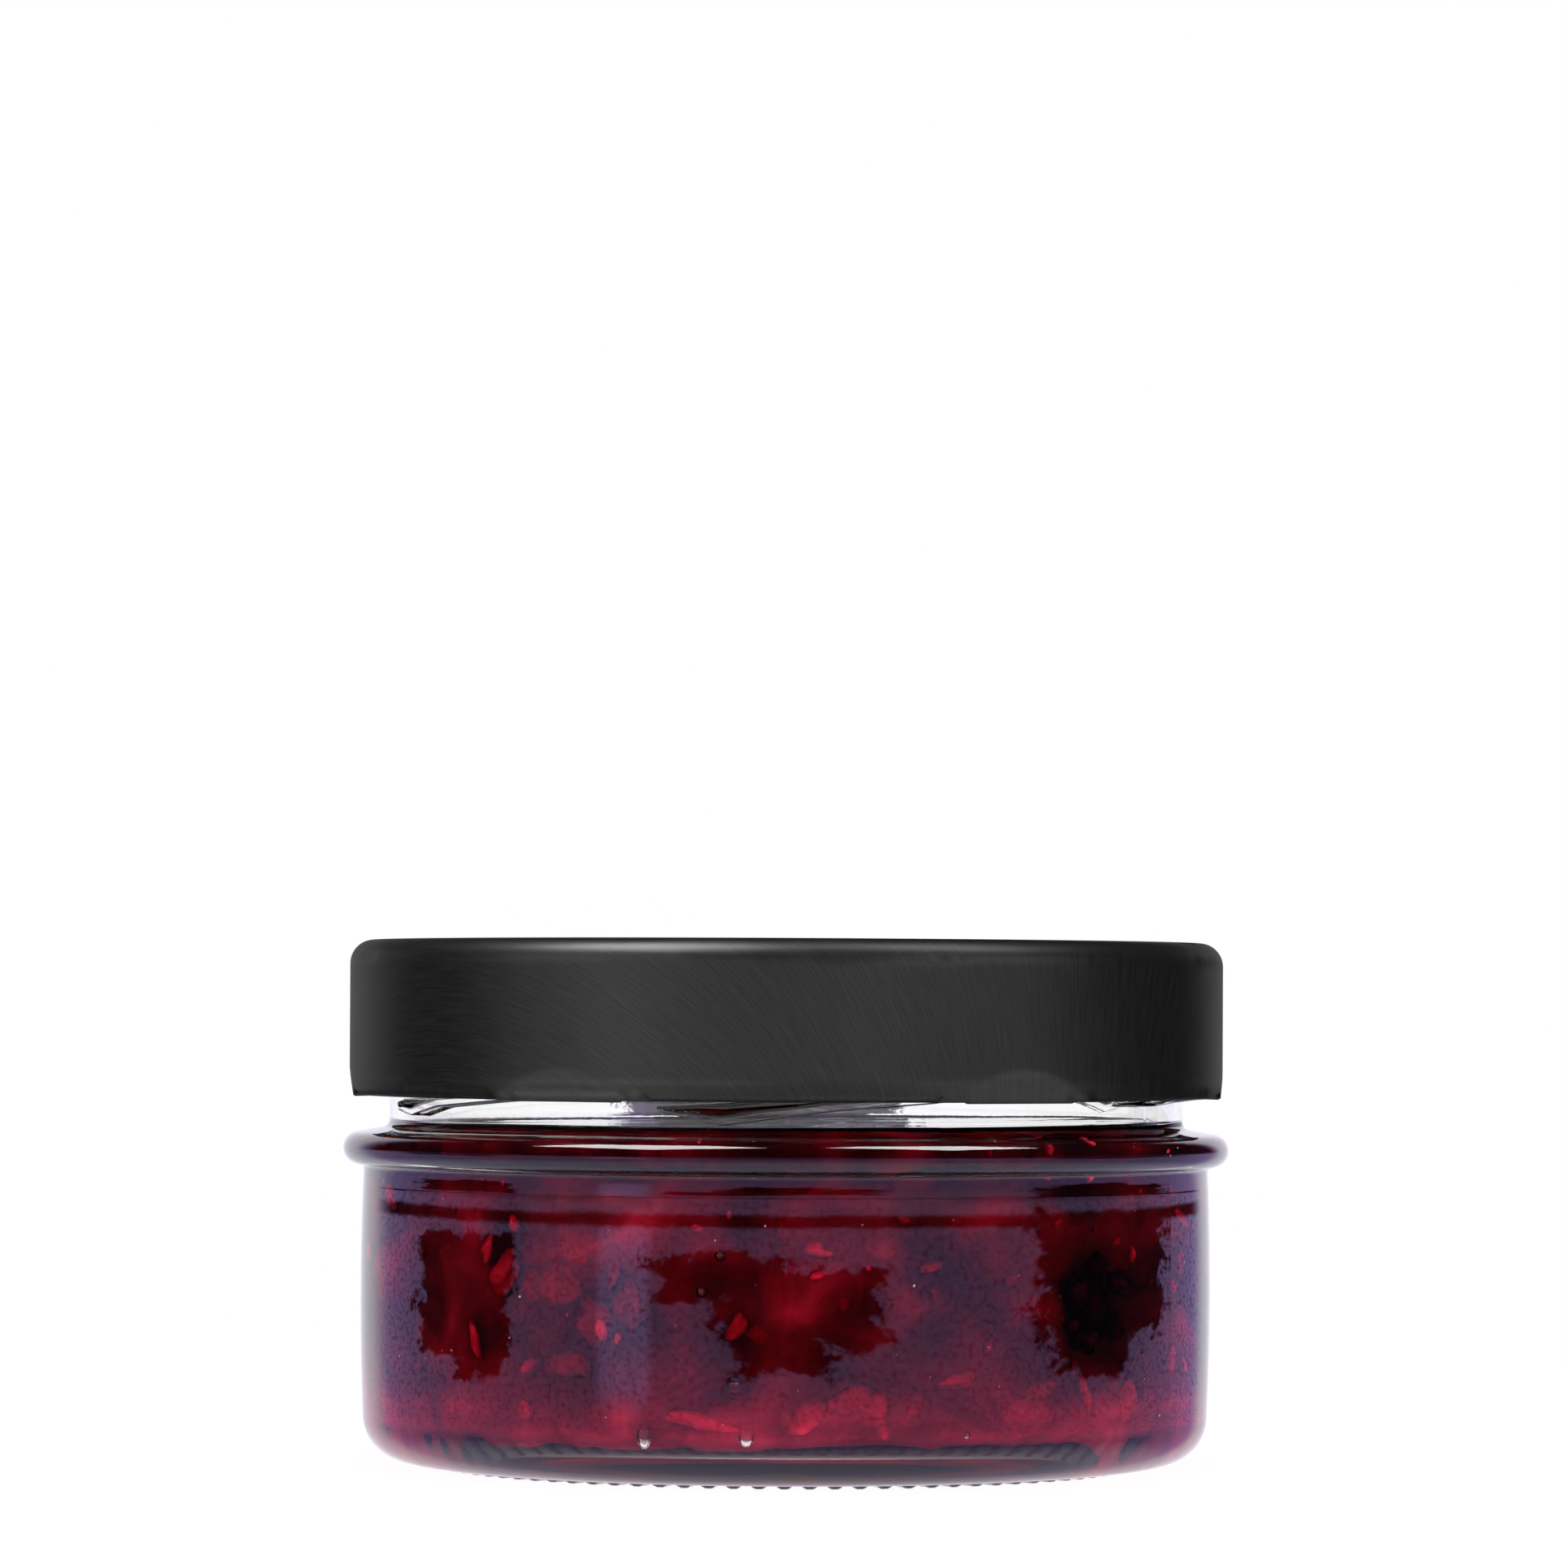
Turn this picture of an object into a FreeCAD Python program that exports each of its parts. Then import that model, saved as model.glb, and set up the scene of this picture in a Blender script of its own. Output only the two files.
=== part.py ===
import FreeCAD, Part
import math
import os

V = FreeCAD.Vector

# A low, wide preserving jar for jam: clear pressed glass, a deep black twist-off lid with
# six lugs, the compound ring that seals it, and the jam. Millimetres, +Z up, origin on the
# axis at the plane the jar stands on. -Y is the front, and angles run from it to the right.

# --- Driving dimensions: glass ---
body_radius = 41.3          # at the heel and under the bead
body_top = 28.75            # where the body turns out into the bead
barrel_rise = 0.25          # how far the middle of the body bulges past body_radius
wall = 2.4                  # least thickness of the body wall
heel_radius = 4.4
inner_heel_radius = 4.6
push_up = 2.4               # height of the hollow under the base
base_thickness = 2.8        # at the axis
base_swell = 0.15           # how much thicker the base is at its edge
ring_height = 0.45          # the bearing ring's smooth part stands this far off the table
ring_width = 4.5            # of its flat, inwards from the heel
ring_step = 1.2             # run of the rounded step from the bearing ring into the hollow
ring_step_height = 0.5

bead_proud = 2.0            # the stacking bead round the shoulder, out from the body
bead_nose = 1.6             # radius of the bead's rounded nose
bead_under_fillet = 0.5
bead_slope = 10.0           # degrees, fall of the ledge between the neck and the bead

neck_step = 2.5             # from the body in to the neck
neck_wall = 2.4
neck_fillet = 0.8
mouth_depth = 15.0          # straight length of the mouth, under the rim
throat_drop = 7.5           # height over which it then widens to the body

# --- Driving dimensions: knurled bearing ring ---
knurls = 92
knurl_start = -0.4          # from the ring's inner edge to a knurl's inner end
knurl_length = 3.0
knurl_round = 0.9           # radius of a knurl's rounded back
knurl_flat_depth = 0.07     # how much of the round is lost to the flat it stands on
knurl_end_slope = 50.0      # degrees from level, of a knurl's sloping ends

# --- Driving dimensions: lid ---
lid_height = 15.1
foot_gap = 7.25             # from the top of the body up to the lid's foot
sheet = 0.25
shoulder_radius = 2.3
rim_land = 5.2              # width of the flat land round the top
panel_drop = 0.7            # the middle panel lies this far under the land
panel_bend = 0.9            # radius of both bends of the step down to it
curl_radius = 0.85          # outer radius of the rolled edge
curl_sweep = 300.0          # degrees of roll
lugs = 6
lug_width = 21.0            # degrees, of the flat that the lug press makes on the skirt
lug_band = 3.2              # height of that flat
lug_bite = 1.2              # how far a lug reaches in under a thread's crest
lug_round = 9.0             # radius of a lug in plan
lug_thickness = 0.7         # the rolled edge flattened
lug_edge = 0.4              # rounding of a lug's edge, as a share of its thickness
lug_drop = 0.12             # a lug hangs this far under the rolled edge

# --- Driving dimensions: glass threads, one for each lug ---
# Angles run along a thread from its zero, and heights from the lid's foot.
thread_depth = 2.0          # from the neck out to a thread's crest
thread_height = 1.3
thread_root_depth = 0.6     # how far the thread's root runs into the neck
thread_flank = 0.45         # rise of the crest's top corner, as a share of the height
thread_turn = 1.0           # degrees, from the front to the zero of the front thread
thread_step = 4.0           # degrees between sections
lug_seat = 30.0             # degrees along a thread to the middle of its lug
crest_clearance = 0.2       # between a thread's crest and the rolled edge
lug_clearance = 0.15        # between a lug and the thread over it
lead_slope = 0.043          # mm a degree, along the top edge of a thread's start
lead_top_angle = -5.0       # where that edge is lead_top high
lead_top = -0.05
ramp = ((5.0, -0.87), (20.0, -0.09))        # underside of the visible run: angle, height
lock_start = 23.5           # degrees, where the run that holds a lug starts and ends
lock_end = 56.0
lock_rise = 0.15            # over that run
blunt = 0.3                 # share of the crest that a thread's blunt end already has
fade = 6.0                  # degrees over which a thread rises to its crest
tip_height = 0.3            # height of a thread's blunt tip
ramp_least_rise = 0.3       # from a thread's lowest point to the foot of the ramp
# A start is (angle of its tip, angle and height of its lowest point). Each mould half holds
# three threads, and those next to the parting line start later so that the mould can open.
starts = ((-12.0, -2.0, -1.8), (-18.5, -9.5, -2.4), (-8.0, -2.0, -0.6))

# --- Driving dimensions: sealing compound and filling ---
seal_thickness = 1.2
seal_inset = 0.2            # from the edges of the land
seal_bite = 0.35            # how far the rim presses into the compound
seal_clearance = 0.05
jam_rise = 4.65             # from the top of the body up to the jam's level

# --- What follows from them ---
neck_radius = body_radius - neck_step
thread_crest = neck_radius + thread_depth
lid_radius = thread_crest + crest_clearance + 2 * curl_radius
lug_reach = thread_crest - lug_bite
bead_radius = body_radius + bead_proud
ring_inner_radius = body_radius - heel_radius - ring_width
lid_foot = body_top + foot_gap
lid_top = lid_foot + lid_height
lug_foot = lid_foot - lug_drop
rim_height = lid_top - sheet - seal_thickness + seal_bite
lug_angle = thread_turn + lug_seat


def point(radius, height):
    return V(radius, 0, height)


def line(a, b):
    return Part.makeLine(point(*a), point(*b))


def arc(a, middle, b):
    return Part.Arc(point(*a), point(*middle), point(*b)).toShape()


def round_corner(centre, radius, start, end):
    """An arc about a centre, from one angle to another, in degrees from outwards to up."""
    def at(angle):
        turn = math.radians(angle)
        return centre[0] + radius * math.cos(turn), centre[1] + radius * math.sin(turn)
    return arc(at(start), at((start + end) / 2), at(end)), at(start), at(end)


def dome(edge, crown):
    """A shallow spherical cap's profile, from its edge up to its crown on the axis."""
    rise = crown - edge[1]
    radius = (edge[0] ** 2 + rise ** 2) / (2 * rise)
    half = edge[0] / 2
    return arc(edge, (half, crown - radius + math.sqrt(radius ** 2 - half ** 2)), (0, crown))


def ogee(top, bottom):
    """Two equal arcs, upright at both ends, that shift a wall sideways."""
    middle = ((top[0] + bottom[0]) / 2, (top[1] + bottom[1]) / 2)
    across, down = middle[0] - top[0], top[1] - middle[1]
    radius = (across ** 2 + down ** 2) / (2 * abs(across))
    bulge = radius - math.sqrt(radius ** 2 - down ** 2 / 4)
    side = math.copysign(bulge, across)
    upper = arc(top, (top[0] + side, top[1] - down / 2), middle)
    lower = arc(middle, (bottom[0] - side, bottom[1] + down / 2), bottom)
    return [upper, lower]


def revolve(edges, degrees=360.0):
    wire = Part.Wire(Part.__sortEdges__(edges))
    return Part.Face(wire).revolve(V(), V(0, 0, 1), degrees)


def turned(shape, degrees):
    copy = shape.copy()
    copy.rotate(V(), V(0, 0, 1), degrees)
    return copy


def glass_blank():
    """The jar's outside, solid: base, heel, barrelled body, stacking bead, neck and rim."""
    step_top = (ring_inner_radius - ring_step, ring_height + ring_step_height)
    ring_inner = (ring_inner_radius, ring_height)
    step_middle = (ring_inner_radius - 0.6 * ring_step, ring_height + 0.3 * ring_step_height)
    heel_centre = (body_radius - heel_radius, ring_height + heel_radius)
    heel, heel_start, heel_end = round_corner(heel_centre, heel_radius, -90, 0)
    body_middle = (body_radius + barrel_rise, (heel_end[1] + body_top) / 2)

    nose_radius = bead_radius - bead_nose
    reach = bead_nose + bead_under_fillet
    offset = body_radius + bead_under_fillet - nose_radius
    nose = (nose_radius, body_top + math.sqrt(reach ** 2 - offset ** 2))
    under_turn = math.degrees(math.atan2(body_top - nose[1], offset))
    under, under_start, under_end = round_corner(
        (body_radius + bead_under_fillet, body_top), bead_under_fillet, 180, 180 + under_turn)
    slope = math.radians(bead_slope)
    bead, bead_start, bead_end = round_corner(nose, bead_nose, under_turn, 90 - bead_slope)

    fillet_foot = neck_radius + neck_fillet
    ledge = bead_end[1] + (bead_end[0] - fillet_foot) * math.tan(slope)
    fillet_centre = (fillet_foot, ledge + neck_fillet / math.cos(slope))
    fillet, fillet_start, fillet_end = round_corner(
        fillet_centre, neck_fillet, 270 - bead_slope, 180)

    rim_round = neck_wall / 2
    rim_outer = (neck_radius, rim_height - rim_round)
    rim_inner = (neck_radius - neck_wall, rim_height - rim_round)
    rim = arc(rim_outer, (neck_radius - rim_round, rim_height), rim_inner)
    return revolve([
        dome(step_top, push_up),
        arc(step_top, step_middle, ring_inner),
        line(ring_inner, heel_start),
        heel,
        arc(heel_end, body_middle, under_start),
        under,
        bead,
        line(bead_end, fillet_start),
        fillet,
        line(fillet_end, rim_outer),
        rim,
        line(rim_inner, (0, rim_inner[1])),
        line((0, rim_inner[1]), (0, push_up)),
    ])


def cavity():
    """The space inside the glass, up to the foot of the rim's rounding."""
    mouth = neck_radius - neck_wall
    inside = body_radius - wall
    throat_top = rim_height - mouth_depth
    throat_foot = throat_top - throat_drop
    floor_crown = push_up + base_thickness
    floor_edge = inside - inner_heel_radius
    # The floor keeps the base's thickness over the hollow under it.
    hollow_rise = push_up - ring_height - ring_step_height
    floor_level = floor_crown - hollow_rise - base_swell
    heel, heel_start, heel_end = round_corner(
        (floor_edge, floor_level + inner_heel_radius), inner_heel_radius, -90, 0)
    top = rim_height - neck_wall / 2
    return revolve([
        dome(heel_start, floor_crown),
        heel,
        line(heel_end, (inside, throat_foot)),
        *ogee((mouth, throat_top), (inside, throat_foot)),
        line((mouth, throat_top), (mouth, top)),
        line((mouth, top), (0, top)),
        line((0, top), (0, floor_crown)),
    ])


def knurl():
    """One radial bar of the bearing ring: a round back, sloping ends, and a flat to stand on."""
    centre = knurl_round - knurl_flat_depth
    inner = ring_inner_radius + knurl_start
    outer = inner + knurl_length
    bar = Part.makeCylinder(knurl_round, knurl_length, point(inner, centre), V(1, 0, 0))
    # The slope starts at the flat and ends inside the glass of the base.
    slant = 2 * ring_height / math.tan(math.radians(knurl_end_slope))
    top = 2 * ring_height
    outline = Part.makePolygon([
        point(inner + slant / 2, 0), point(outer - slant / 2, 0),
        point(outer + slant / 2, top), point(inner - slant / 2, top),
        point(inner + slant / 2, 0),
    ])
    outline.translate(V(0, -knurl_round, 0))
    return bar.common(Part.Face(outline).extrude(V(0, 2 * knurl_round, 0)))


def between(stations, angle):
    """A height on the straight runs between stations, each an angle and a height."""
    for (a, low), (b, high) in zip(stations, stations[1:]):
        if angle <= b:
            return low + (high - low) * (angle - a) / (b - a)
    return stations[-1][1]


def thread(start):
    """One thread of the finish: a leaf-shaped start, a ramp, and the run that holds a lug."""
    tip, low_angle, low_height = start
    end = lock_end
    lock = lug_thickness - lug_drop + lug_clearance

    def top_edge(angle):
        return lead_top + lead_slope * (angle - lead_top_angle)
    foot = (ramp[0][0], max(ramp[0][1], low_height + ramp_least_rise))
    under = [(tip, top_edge(tip) - tip_height), (low_angle, low_height), foot, ramp[1],
             (lock_start, lock), (lock_end, lock + lock_rise)]
    heights = [(tip, tip_height), (low_angle, top_edge(low_angle) - low_height),
               (ramp[1][0], thread_height), (end, thread_height)]
    count = round((end - tip) / thread_step)
    root = neck_radius - thread_root_depth
    wires = []
    for i in range(count + 1):
        angle = tip + (end - tip) * i / count
        low = lid_foot + between(under, angle)
        high = low + between(heights, angle)
        share = min(1.0, blunt + (1 - blunt) * min(angle - tip, end - angle) / fade)
        crest = neck_radius + (thread_crest - neck_radius) * share
        corner = low + thread_flank * (high - low)
        section = [(root, low), (crest, low), (crest, corner), (root, high), (root, low)]
        wire = Part.makePolygon([point(*p) for p in section])
        wires.append(turned(wire, angle))
    return Part.makeLoft(wires, True, False)


def make_jar():
    """The glass: blank, knurls and threads fused, and the inside cut out of it."""
    bars = [turned(knurl(), 360 * i / knurls) for i in range(knurls)]
    runs = []
    for i in range(lugs):
        place = (i - 1) * 360 / lugs + thread_turn - 90
        runs.append(turned(thread(starts[i % len(starts)]), place))
    return glass_blank().fuse(bars + runs).cut(cavity()).removeSplitter()


def make_jam():
    level = Part.makeCylinder(body_radius, body_top + jam_rise)
    return cavity().common(level)


def lid_shell():
    """The stamped lid before its lugs: panel, step, land, shoulder, skirt and rolled edge."""
    inner_shoulder = shoulder_radius - sheet
    shoulder_centre = (lid_radius - shoulder_radius, lid_top - shoulder_radius)
    outer, outer_start, outer_end = round_corner(shoulder_centre, shoulder_radius, 0, 90)
    inner, inner_start, inner_end = round_corner(shoulder_centre, inner_shoulder, 0, 90)
    roll_centre = (lid_radius - curl_radius, lid_foot + curl_radius)
    roll_out, out_start, out_end = round_corner(roll_centre, curl_radius, 0, -curl_sweep)
    roll_in, in_start, in_end = round_corner(roll_centre, curl_radius - sheet, 0, -curl_sweep)
    # The step down to the panel is two bends with one centre-line radius, each turned far
    # enough that together they fall by panel_drop.
    land = shoulder_centre[0] - rim_land
    bend = panel_bend + sheet / 2
    turn = math.acos(1 - panel_drop / (2 * bend))
    high = (land, lid_top - sheet / 2 - bend)
    low = (land - 2 * bend * math.sin(turn), lid_top - sheet / 2 - panel_drop + bend)

    def step(side):
        degrees = math.degrees(turn)
        first, start, middle = round_corner(high, bend + side, 90, 90 + degrees)
        second, middle, end = round_corner(low, bend - side, 270 + degrees, 270)
        return [first, second], start, end
    upper, upper_land, upper_panel = step(sheet / 2)
    lower, lower_land, lower_panel = step(-sheet / 2)
    return revolve([
        line((0, upper_panel[1]), upper_panel),
        *upper,
        line(upper_land, outer_end),
        outer,
        line(outer_start, out_start),
        roll_out,
        line(out_end, in_end),
        roll_in,
        line(in_start, inner_start),
        inner,
        line(inner_end, lower_land),
        *lower,
        line(lower_panel, (0, lower_panel[1])),
        line((0, lower_panel[1]), (0, upper_panel[1])),
    ])


def press_block(inset):
    """All that lies outside the flat a lug press makes on the skirt, moved in by an inset."""
    half = lug_width / 2
    depth = lid_radius * (1 - math.cos(math.radians(half)))
    lean = math.degrees(math.atan2(depth, lug_band))
    size = 3 * lid_radius
    block = Part.makeBox(size, size, size, V(0, -size / 2, -size / 2))
    block.rotate(V(), V(0, 1, 0), lean)
    block.translate(point(lid_radius - depth - inset, lug_foot))
    return block


def lug():
    """A tongue of flattened rolled edge, its inner edge round in plan and rounded over."""
    tongue = Part.makeCylinder(lug_round, lug_thickness, point(lug_reach + lug_round, lug_foot))
    edges = [e for e in tongue.Edges if isinstance(e.Curve, Part.Circle)]
    tongue = tongue.makeFillet(lug_thickness * lug_edge, edges)
    return tongue.common(Part.makeCylinder(lid_radius - sheet, rim_height))


def make_lid():
    """The lid: its rolled edge and skirt pressed in and flattened to a lug six times round."""
    lower_skirt = Part.makeCylinder(lid_radius, lug_band + curl_radius, point(0, lid_foot))
    plate = lower_skirt.common(press_block(sheet))
    additions, cuts = [], []
    for i in range(lugs):
        place = i * 360 / lugs + lug_angle - 90
        additions += [turned(plate, place), turned(lug(), place)]
        cuts.append(turned(press_block(0), place))
    return lid_shell().fuse(additions).cut(cuts).removeSplitter()


def make_sealing_ring():
    """The compound under the land, with the groove that the glass rim has pressed into it."""
    outer = lid_radius - shoulder_radius - seal_inset
    inner = lid_radius - shoulder_radius - rim_land + seal_inset
    top = lid_top - sheet
    bottom = rim_height - seal_bite
    rim_round = neck_wall / 2
    rim_centre = (neck_radius - rim_round, rim_height - rim_round)
    # The groove's arc is the rim's own, with a hair's clearance round it.
    groove = rim_round + seal_clearance
    half = math.degrees(math.acos((bottom - rim_centre[1]) / groove))
    bite, bite_start, bite_end = round_corner(rim_centre, groove, 90 - half, 90 + half)
    return revolve([
        line((inner, top), (outer, top)),
        line((outer, top), (outer, bottom)),
        line((outer, bottom), bite_start),
        bite,
        line(bite_end, (inner, bottom)),
        line((inner, bottom), (inner, top)),
    ])


def main():
    os.makedirs("parts", exist_ok=True)
    nodes = {
        "jar": make_jar(),
        "lid": make_lid(),
        "sealing_ring": make_sealing_ring(),
        "jam": make_jam(),
    }
    for name, shape in nodes.items():
        print(name, len(shape.Solids), "solid,", round(shape.Volume / 1000, 2), "ml,",
              "valid" if shape.isValid() else "NOT VALID")
        shape.exportStep(f"parts/{name}.step")


main()
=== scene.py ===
# %% [markdown]
# # A twist-off jar of dark red jam
# This lesson dresses a finished CAD model of a low jar: clear pressed glass, a black lid, and
# jam with pieces of fruit in it. The CAD model comes in as a fixed frame. The lid stays as it
# is and gets a better finish. The glass and the jam are made again here, because light that
# passes through a surface shows every flat facet that a CAD mesh has.

# %% Load the frame
import bmesh
import bpy
import math
import numpy as np
import random
from mathutils import Matrix, Vector


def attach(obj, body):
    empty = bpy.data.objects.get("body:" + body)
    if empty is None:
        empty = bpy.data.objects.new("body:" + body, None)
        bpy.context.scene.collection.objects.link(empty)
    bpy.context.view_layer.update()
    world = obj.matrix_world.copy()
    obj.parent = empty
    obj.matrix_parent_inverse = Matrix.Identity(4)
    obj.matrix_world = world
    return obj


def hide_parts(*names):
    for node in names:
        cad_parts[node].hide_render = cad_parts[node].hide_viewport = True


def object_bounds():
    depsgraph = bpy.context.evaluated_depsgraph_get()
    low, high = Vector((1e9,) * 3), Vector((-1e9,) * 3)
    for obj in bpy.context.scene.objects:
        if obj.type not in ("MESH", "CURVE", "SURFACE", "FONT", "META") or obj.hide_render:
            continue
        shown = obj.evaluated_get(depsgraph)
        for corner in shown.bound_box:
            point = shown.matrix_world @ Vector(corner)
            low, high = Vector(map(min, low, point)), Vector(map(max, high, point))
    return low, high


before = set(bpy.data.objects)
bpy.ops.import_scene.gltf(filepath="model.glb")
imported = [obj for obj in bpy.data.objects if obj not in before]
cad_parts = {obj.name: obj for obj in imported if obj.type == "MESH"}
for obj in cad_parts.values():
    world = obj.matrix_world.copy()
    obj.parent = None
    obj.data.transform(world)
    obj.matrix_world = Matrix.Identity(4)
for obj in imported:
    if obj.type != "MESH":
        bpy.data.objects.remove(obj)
cad_box = [list(corner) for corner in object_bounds()]
MM = 0.001
size_mm = [round((high - low) / MM, 1) for low, high in zip(*cad_box)]
print("CAD box in mm", size_mm)

# %% [markdown]
# A node tree is a list of nodes and the wires between them. One helper adds a node, sets its
# settings, fills its sockets and joins its wires, so the trees below read like recipes.

# %% A helper for nodes
def add(tree, kind, sockets=None, **settings):
    """Adds a node. A kind in capitals is that sum of a Math node, done once more for each value
    past the second. A socket gets a plain value, or is wired to another node's output, or to a
    whole node's first one."""
    if kind.isupper():
        if len(sockets) > 2:
            sockets = [add(tree, kind, sockets[:-1]), sockets[-1]]
        kind, settings = "ShaderNodeMath", {"operation": kind}
    new = tree.nodes.new(kind)
    for key, value in settings.items():
        setattr(new, key, value)
    for key, value in enumerate(sockets) if isinstance(sockets, list) else (sockets or {}).items():
        if isinstance(value, bpy.types.Node):
            value = value.outputs[0]
        if isinstance(value, bpy.types.NodeSocket):
            tree.links.new(value, new.inputs[key])
        else:
            new.inputs[key].default_value = value
    return new


def linear(hex_colour):
    """An sRGB hex colour as the linear values that Blender's sockets hold."""
    parts = [int(hex_colour[i:i + 2], 16) / 255 for i in (0, 2, 4)]
    return [c / 12.92 if c <= 0.04045 else ((c + 0.055) / 1.055) ** 2.4 for c in parts] + [1.0]


print("helpers ready; middle grey is", round(linear("808080")[0], 3))

# %% [markdown]
# ## Glass
# The jar is soda-lime glass, pressed in a steel mould and fire-polished. It is clear, bends
# light by 1.52, and its skin is never quite flat: the cooler mould leaves ripples a few
# millimetres apart and a fine orange peel. They are too low to see as shapes, but they make
# reflections tremble. Both are drawn as bump, which tilts the surface's normal and moves
# nothing.
#
# Where jelly wets the inside, light goes from glass to jelly and not to air, so it bends far
# less and hardly mirrors. Those faces get a second glass, whose number is the ratio of the
# two indices. The jelly's own sides then bend nothing, and only its free top does.

# %% Glass material
def new_material(name):
    """An empty material, its tree, and the coordinates of the piece that wears it."""
    material = bpy.data.materials.new(name)
    material.use_nodes = True
    tree = material.node_tree
    tree.nodes.clear()
    return material, tree, add(tree, "ShaderNodeTexCoord").outputs["Object"]


CLEAR = {"Base Color": linear("FFFFFF"), "Roughness": 0.0, "Transmission Weight": 1.0}
RIPPLE, PEEL = 0.0020, 0.0004   # heights of the glass's unevenness, in mm


def new_glass(name, bending):
    material, tree, place = new_material(name)
    ripple = add(tree, "ShaderNodeTexNoise",
                 {"Vector": place, "Scale": 260.0, "Detail": 2.0, "Roughness": 0.55})
    peel = add(tree, "ShaderNodeTexNoise",
               {"Vector": place, "Scale": 1700.0, "Detail": 2.0, "Roughness": 0.6})
    waves = add(tree, "ShaderNodeBump",
                {"Strength": 1.0, "Distance": RIPPLE * MM, "Height": ripple})
    skin = add(tree, "ShaderNodeBump",
               {"Strength": 1.0, "Distance": PEEL * MM, "Height": peel, "Normal": waves})
    shader = add(tree, "ShaderNodeBsdfPrincipled", {**CLEAR, "IOR": bending, "Normal": skin})
    add(tree, "ShaderNodeOutputMaterial", {"Surface": shader})
    return material


GLASS_INDEX, JELLY_INDEX = 1.52, 1.44
glass = new_glass("pressed_soda_lime_glass", GLASS_INDEX)
wetted_glass = new_glass("glass_wetted_by_jelly", GLASS_INDEX / JELLY_INDEX)
print("wetted glass bends light by", round(GLASS_INDEX / JELLY_INDEX, 3))

# %% [markdown]
# ## The jar's outline
# A jar is round, so its shape is one outline turned about the axis. The outline is written
# as arcs and straight runs, in millimetres out from the axis and up from the table, and the
# sizes are the CAD model's own. Arcs get points every few degrees. The flat of the foot and
# the neck get more than their shape needs, because knurls and threads rise from them later.

# %% Outline helpers
def arc(centre, radius, start, end, count):
    """Points on an arc, without its first one; angles in degrees from outwards to up."""
    turns = np.radians(np.linspace(start, end, count + 1)[1:])
    return [(centre[0] + radius * math.cos(t), centre[1] + radius * math.sin(t)) for t in turns]


def run(start, end, count):
    """Points on a straight run, without its first one."""
    return [tuple(np.array(start) + (np.array(end) - start) * i / count)
            for i in range(1, count + 1)]


def dome(crown, edge, count):
    """Points on a shallow round dome from its crown on the axis to its edge."""
    return [(edge[0] * i / count, crown + (edge[1] - crown) * (i / count) ** 2)
            for i in range(1, count + 1)]


print("a quarter turn in three steps:", [(round(r, 2), round(z, 2)) for r, z in
                                         arc((0, 0), 1, 0, 90, 3)])

# %% The jelly's level and the wall above it
LEVEL = 33.4                    # height of the jam
BORE, NECK_BORE = 38.9, 36.4    # radii of the inside of the glass, at the wall and the neck
SHOULDER = 27.5                 # height at which the inside starts to narrow to the neck
HEEL, HEEL_RADIUS = (34.3, 8.2), 4.6    # the round corner between the inside wall and floor


def wall_radius(height):
    """Radius of the inside of the glass above the straight wall."""
    share = np.clip((33.0 - height) / 5.5, 0, 1)
    return NECK_BORE + 2.5 * (1 - np.cos(np.pi * share)) / 2


def lift(x, y):
    """How far the jelly's top stands over its mean level: it set a little askew, with lumps."""
    return 0.07 - 0.014 + 0.0100 * x + 0.03 * math.sin(0.21 * x + 1.0) + 0.02 * math.sin(0.37 * y)


print("the glass is", [round(float(wall_radius(z)), 2) for z in (SHOULDER, 30, LEVEL)],
      "mm inside at the shoulder, at 30 mm and at the jam's level")

# %% Outline of the glass
FOOT, NECK = 36.0, 38.8          # height of the lid's foot, radius of the neck
band_foot, band_top = 33.7, 36.8  # the visible part of the neck, where the threads start
band_rows = 24
outside = [(0.0, 2.4)] + dome(2.4, (31.2, 0.95), 6)
outside += [(31.68, 0.6), (31.95, 0.52)]
outside += [(r, 0.45) for r in (32.15, 32.3, 32.45, 32.6, 33.5, 34.4,
                                34.55, 34.7, 34.85, 35.1, 36.9)]
outside += arc((36.9, 4.85), 4.4, -90, 0, 12)
outside += [(41.3 + 0.25 * (1 - ((z - 16.8) / 11.95) ** 2), z)
            for z in np.linspace(4.85, 28.75, 15)[1:]]
outside += arc((41.8, 28.75), 0.5, 180, 92, 4)
outside += arc((41.7, 30.848), 1.6, -87, 80, 16)
outside += run(outside[-1], (39.46, 32.87), 3)
outside += arc((39.6, 33.655), 0.8, 260, 180, 6)
outside += [(NECK, z) for z in np.linspace(band_foot, band_top, band_rows)]
outside += [(NECK, z) for z in (37.1, 37.4, 37.7, 38.0, 38.3, 39.0, 48.8)]
outside += arc((37.6, 48.8), 1.2, 0, 180, 8)
inside = [(NECK_BORE, 42.0), (NECK_BORE, 35.0)]
inside += [(float(wall_radius(z)), z) for z in (34.6, 34.2, 33.8, LEVEL, 33.0, 32.4, 31.7, 31.0,
                                                30.2, 29.4, 28.5, SHOULDER)]
inside += run((BORE, SHOULDER), (BORE, HEEL[1]), 4)
inside += arc(HEEL, HEEL_RADIUS, 0, -90, 8)
inside += dome(5.2, (34.3, 3.6), 4)[-2::-1] + [(0.0, 5.2)]
jar_outline = outside + inside
print("the jar's outline has", len(jar_outline), "points")

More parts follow.
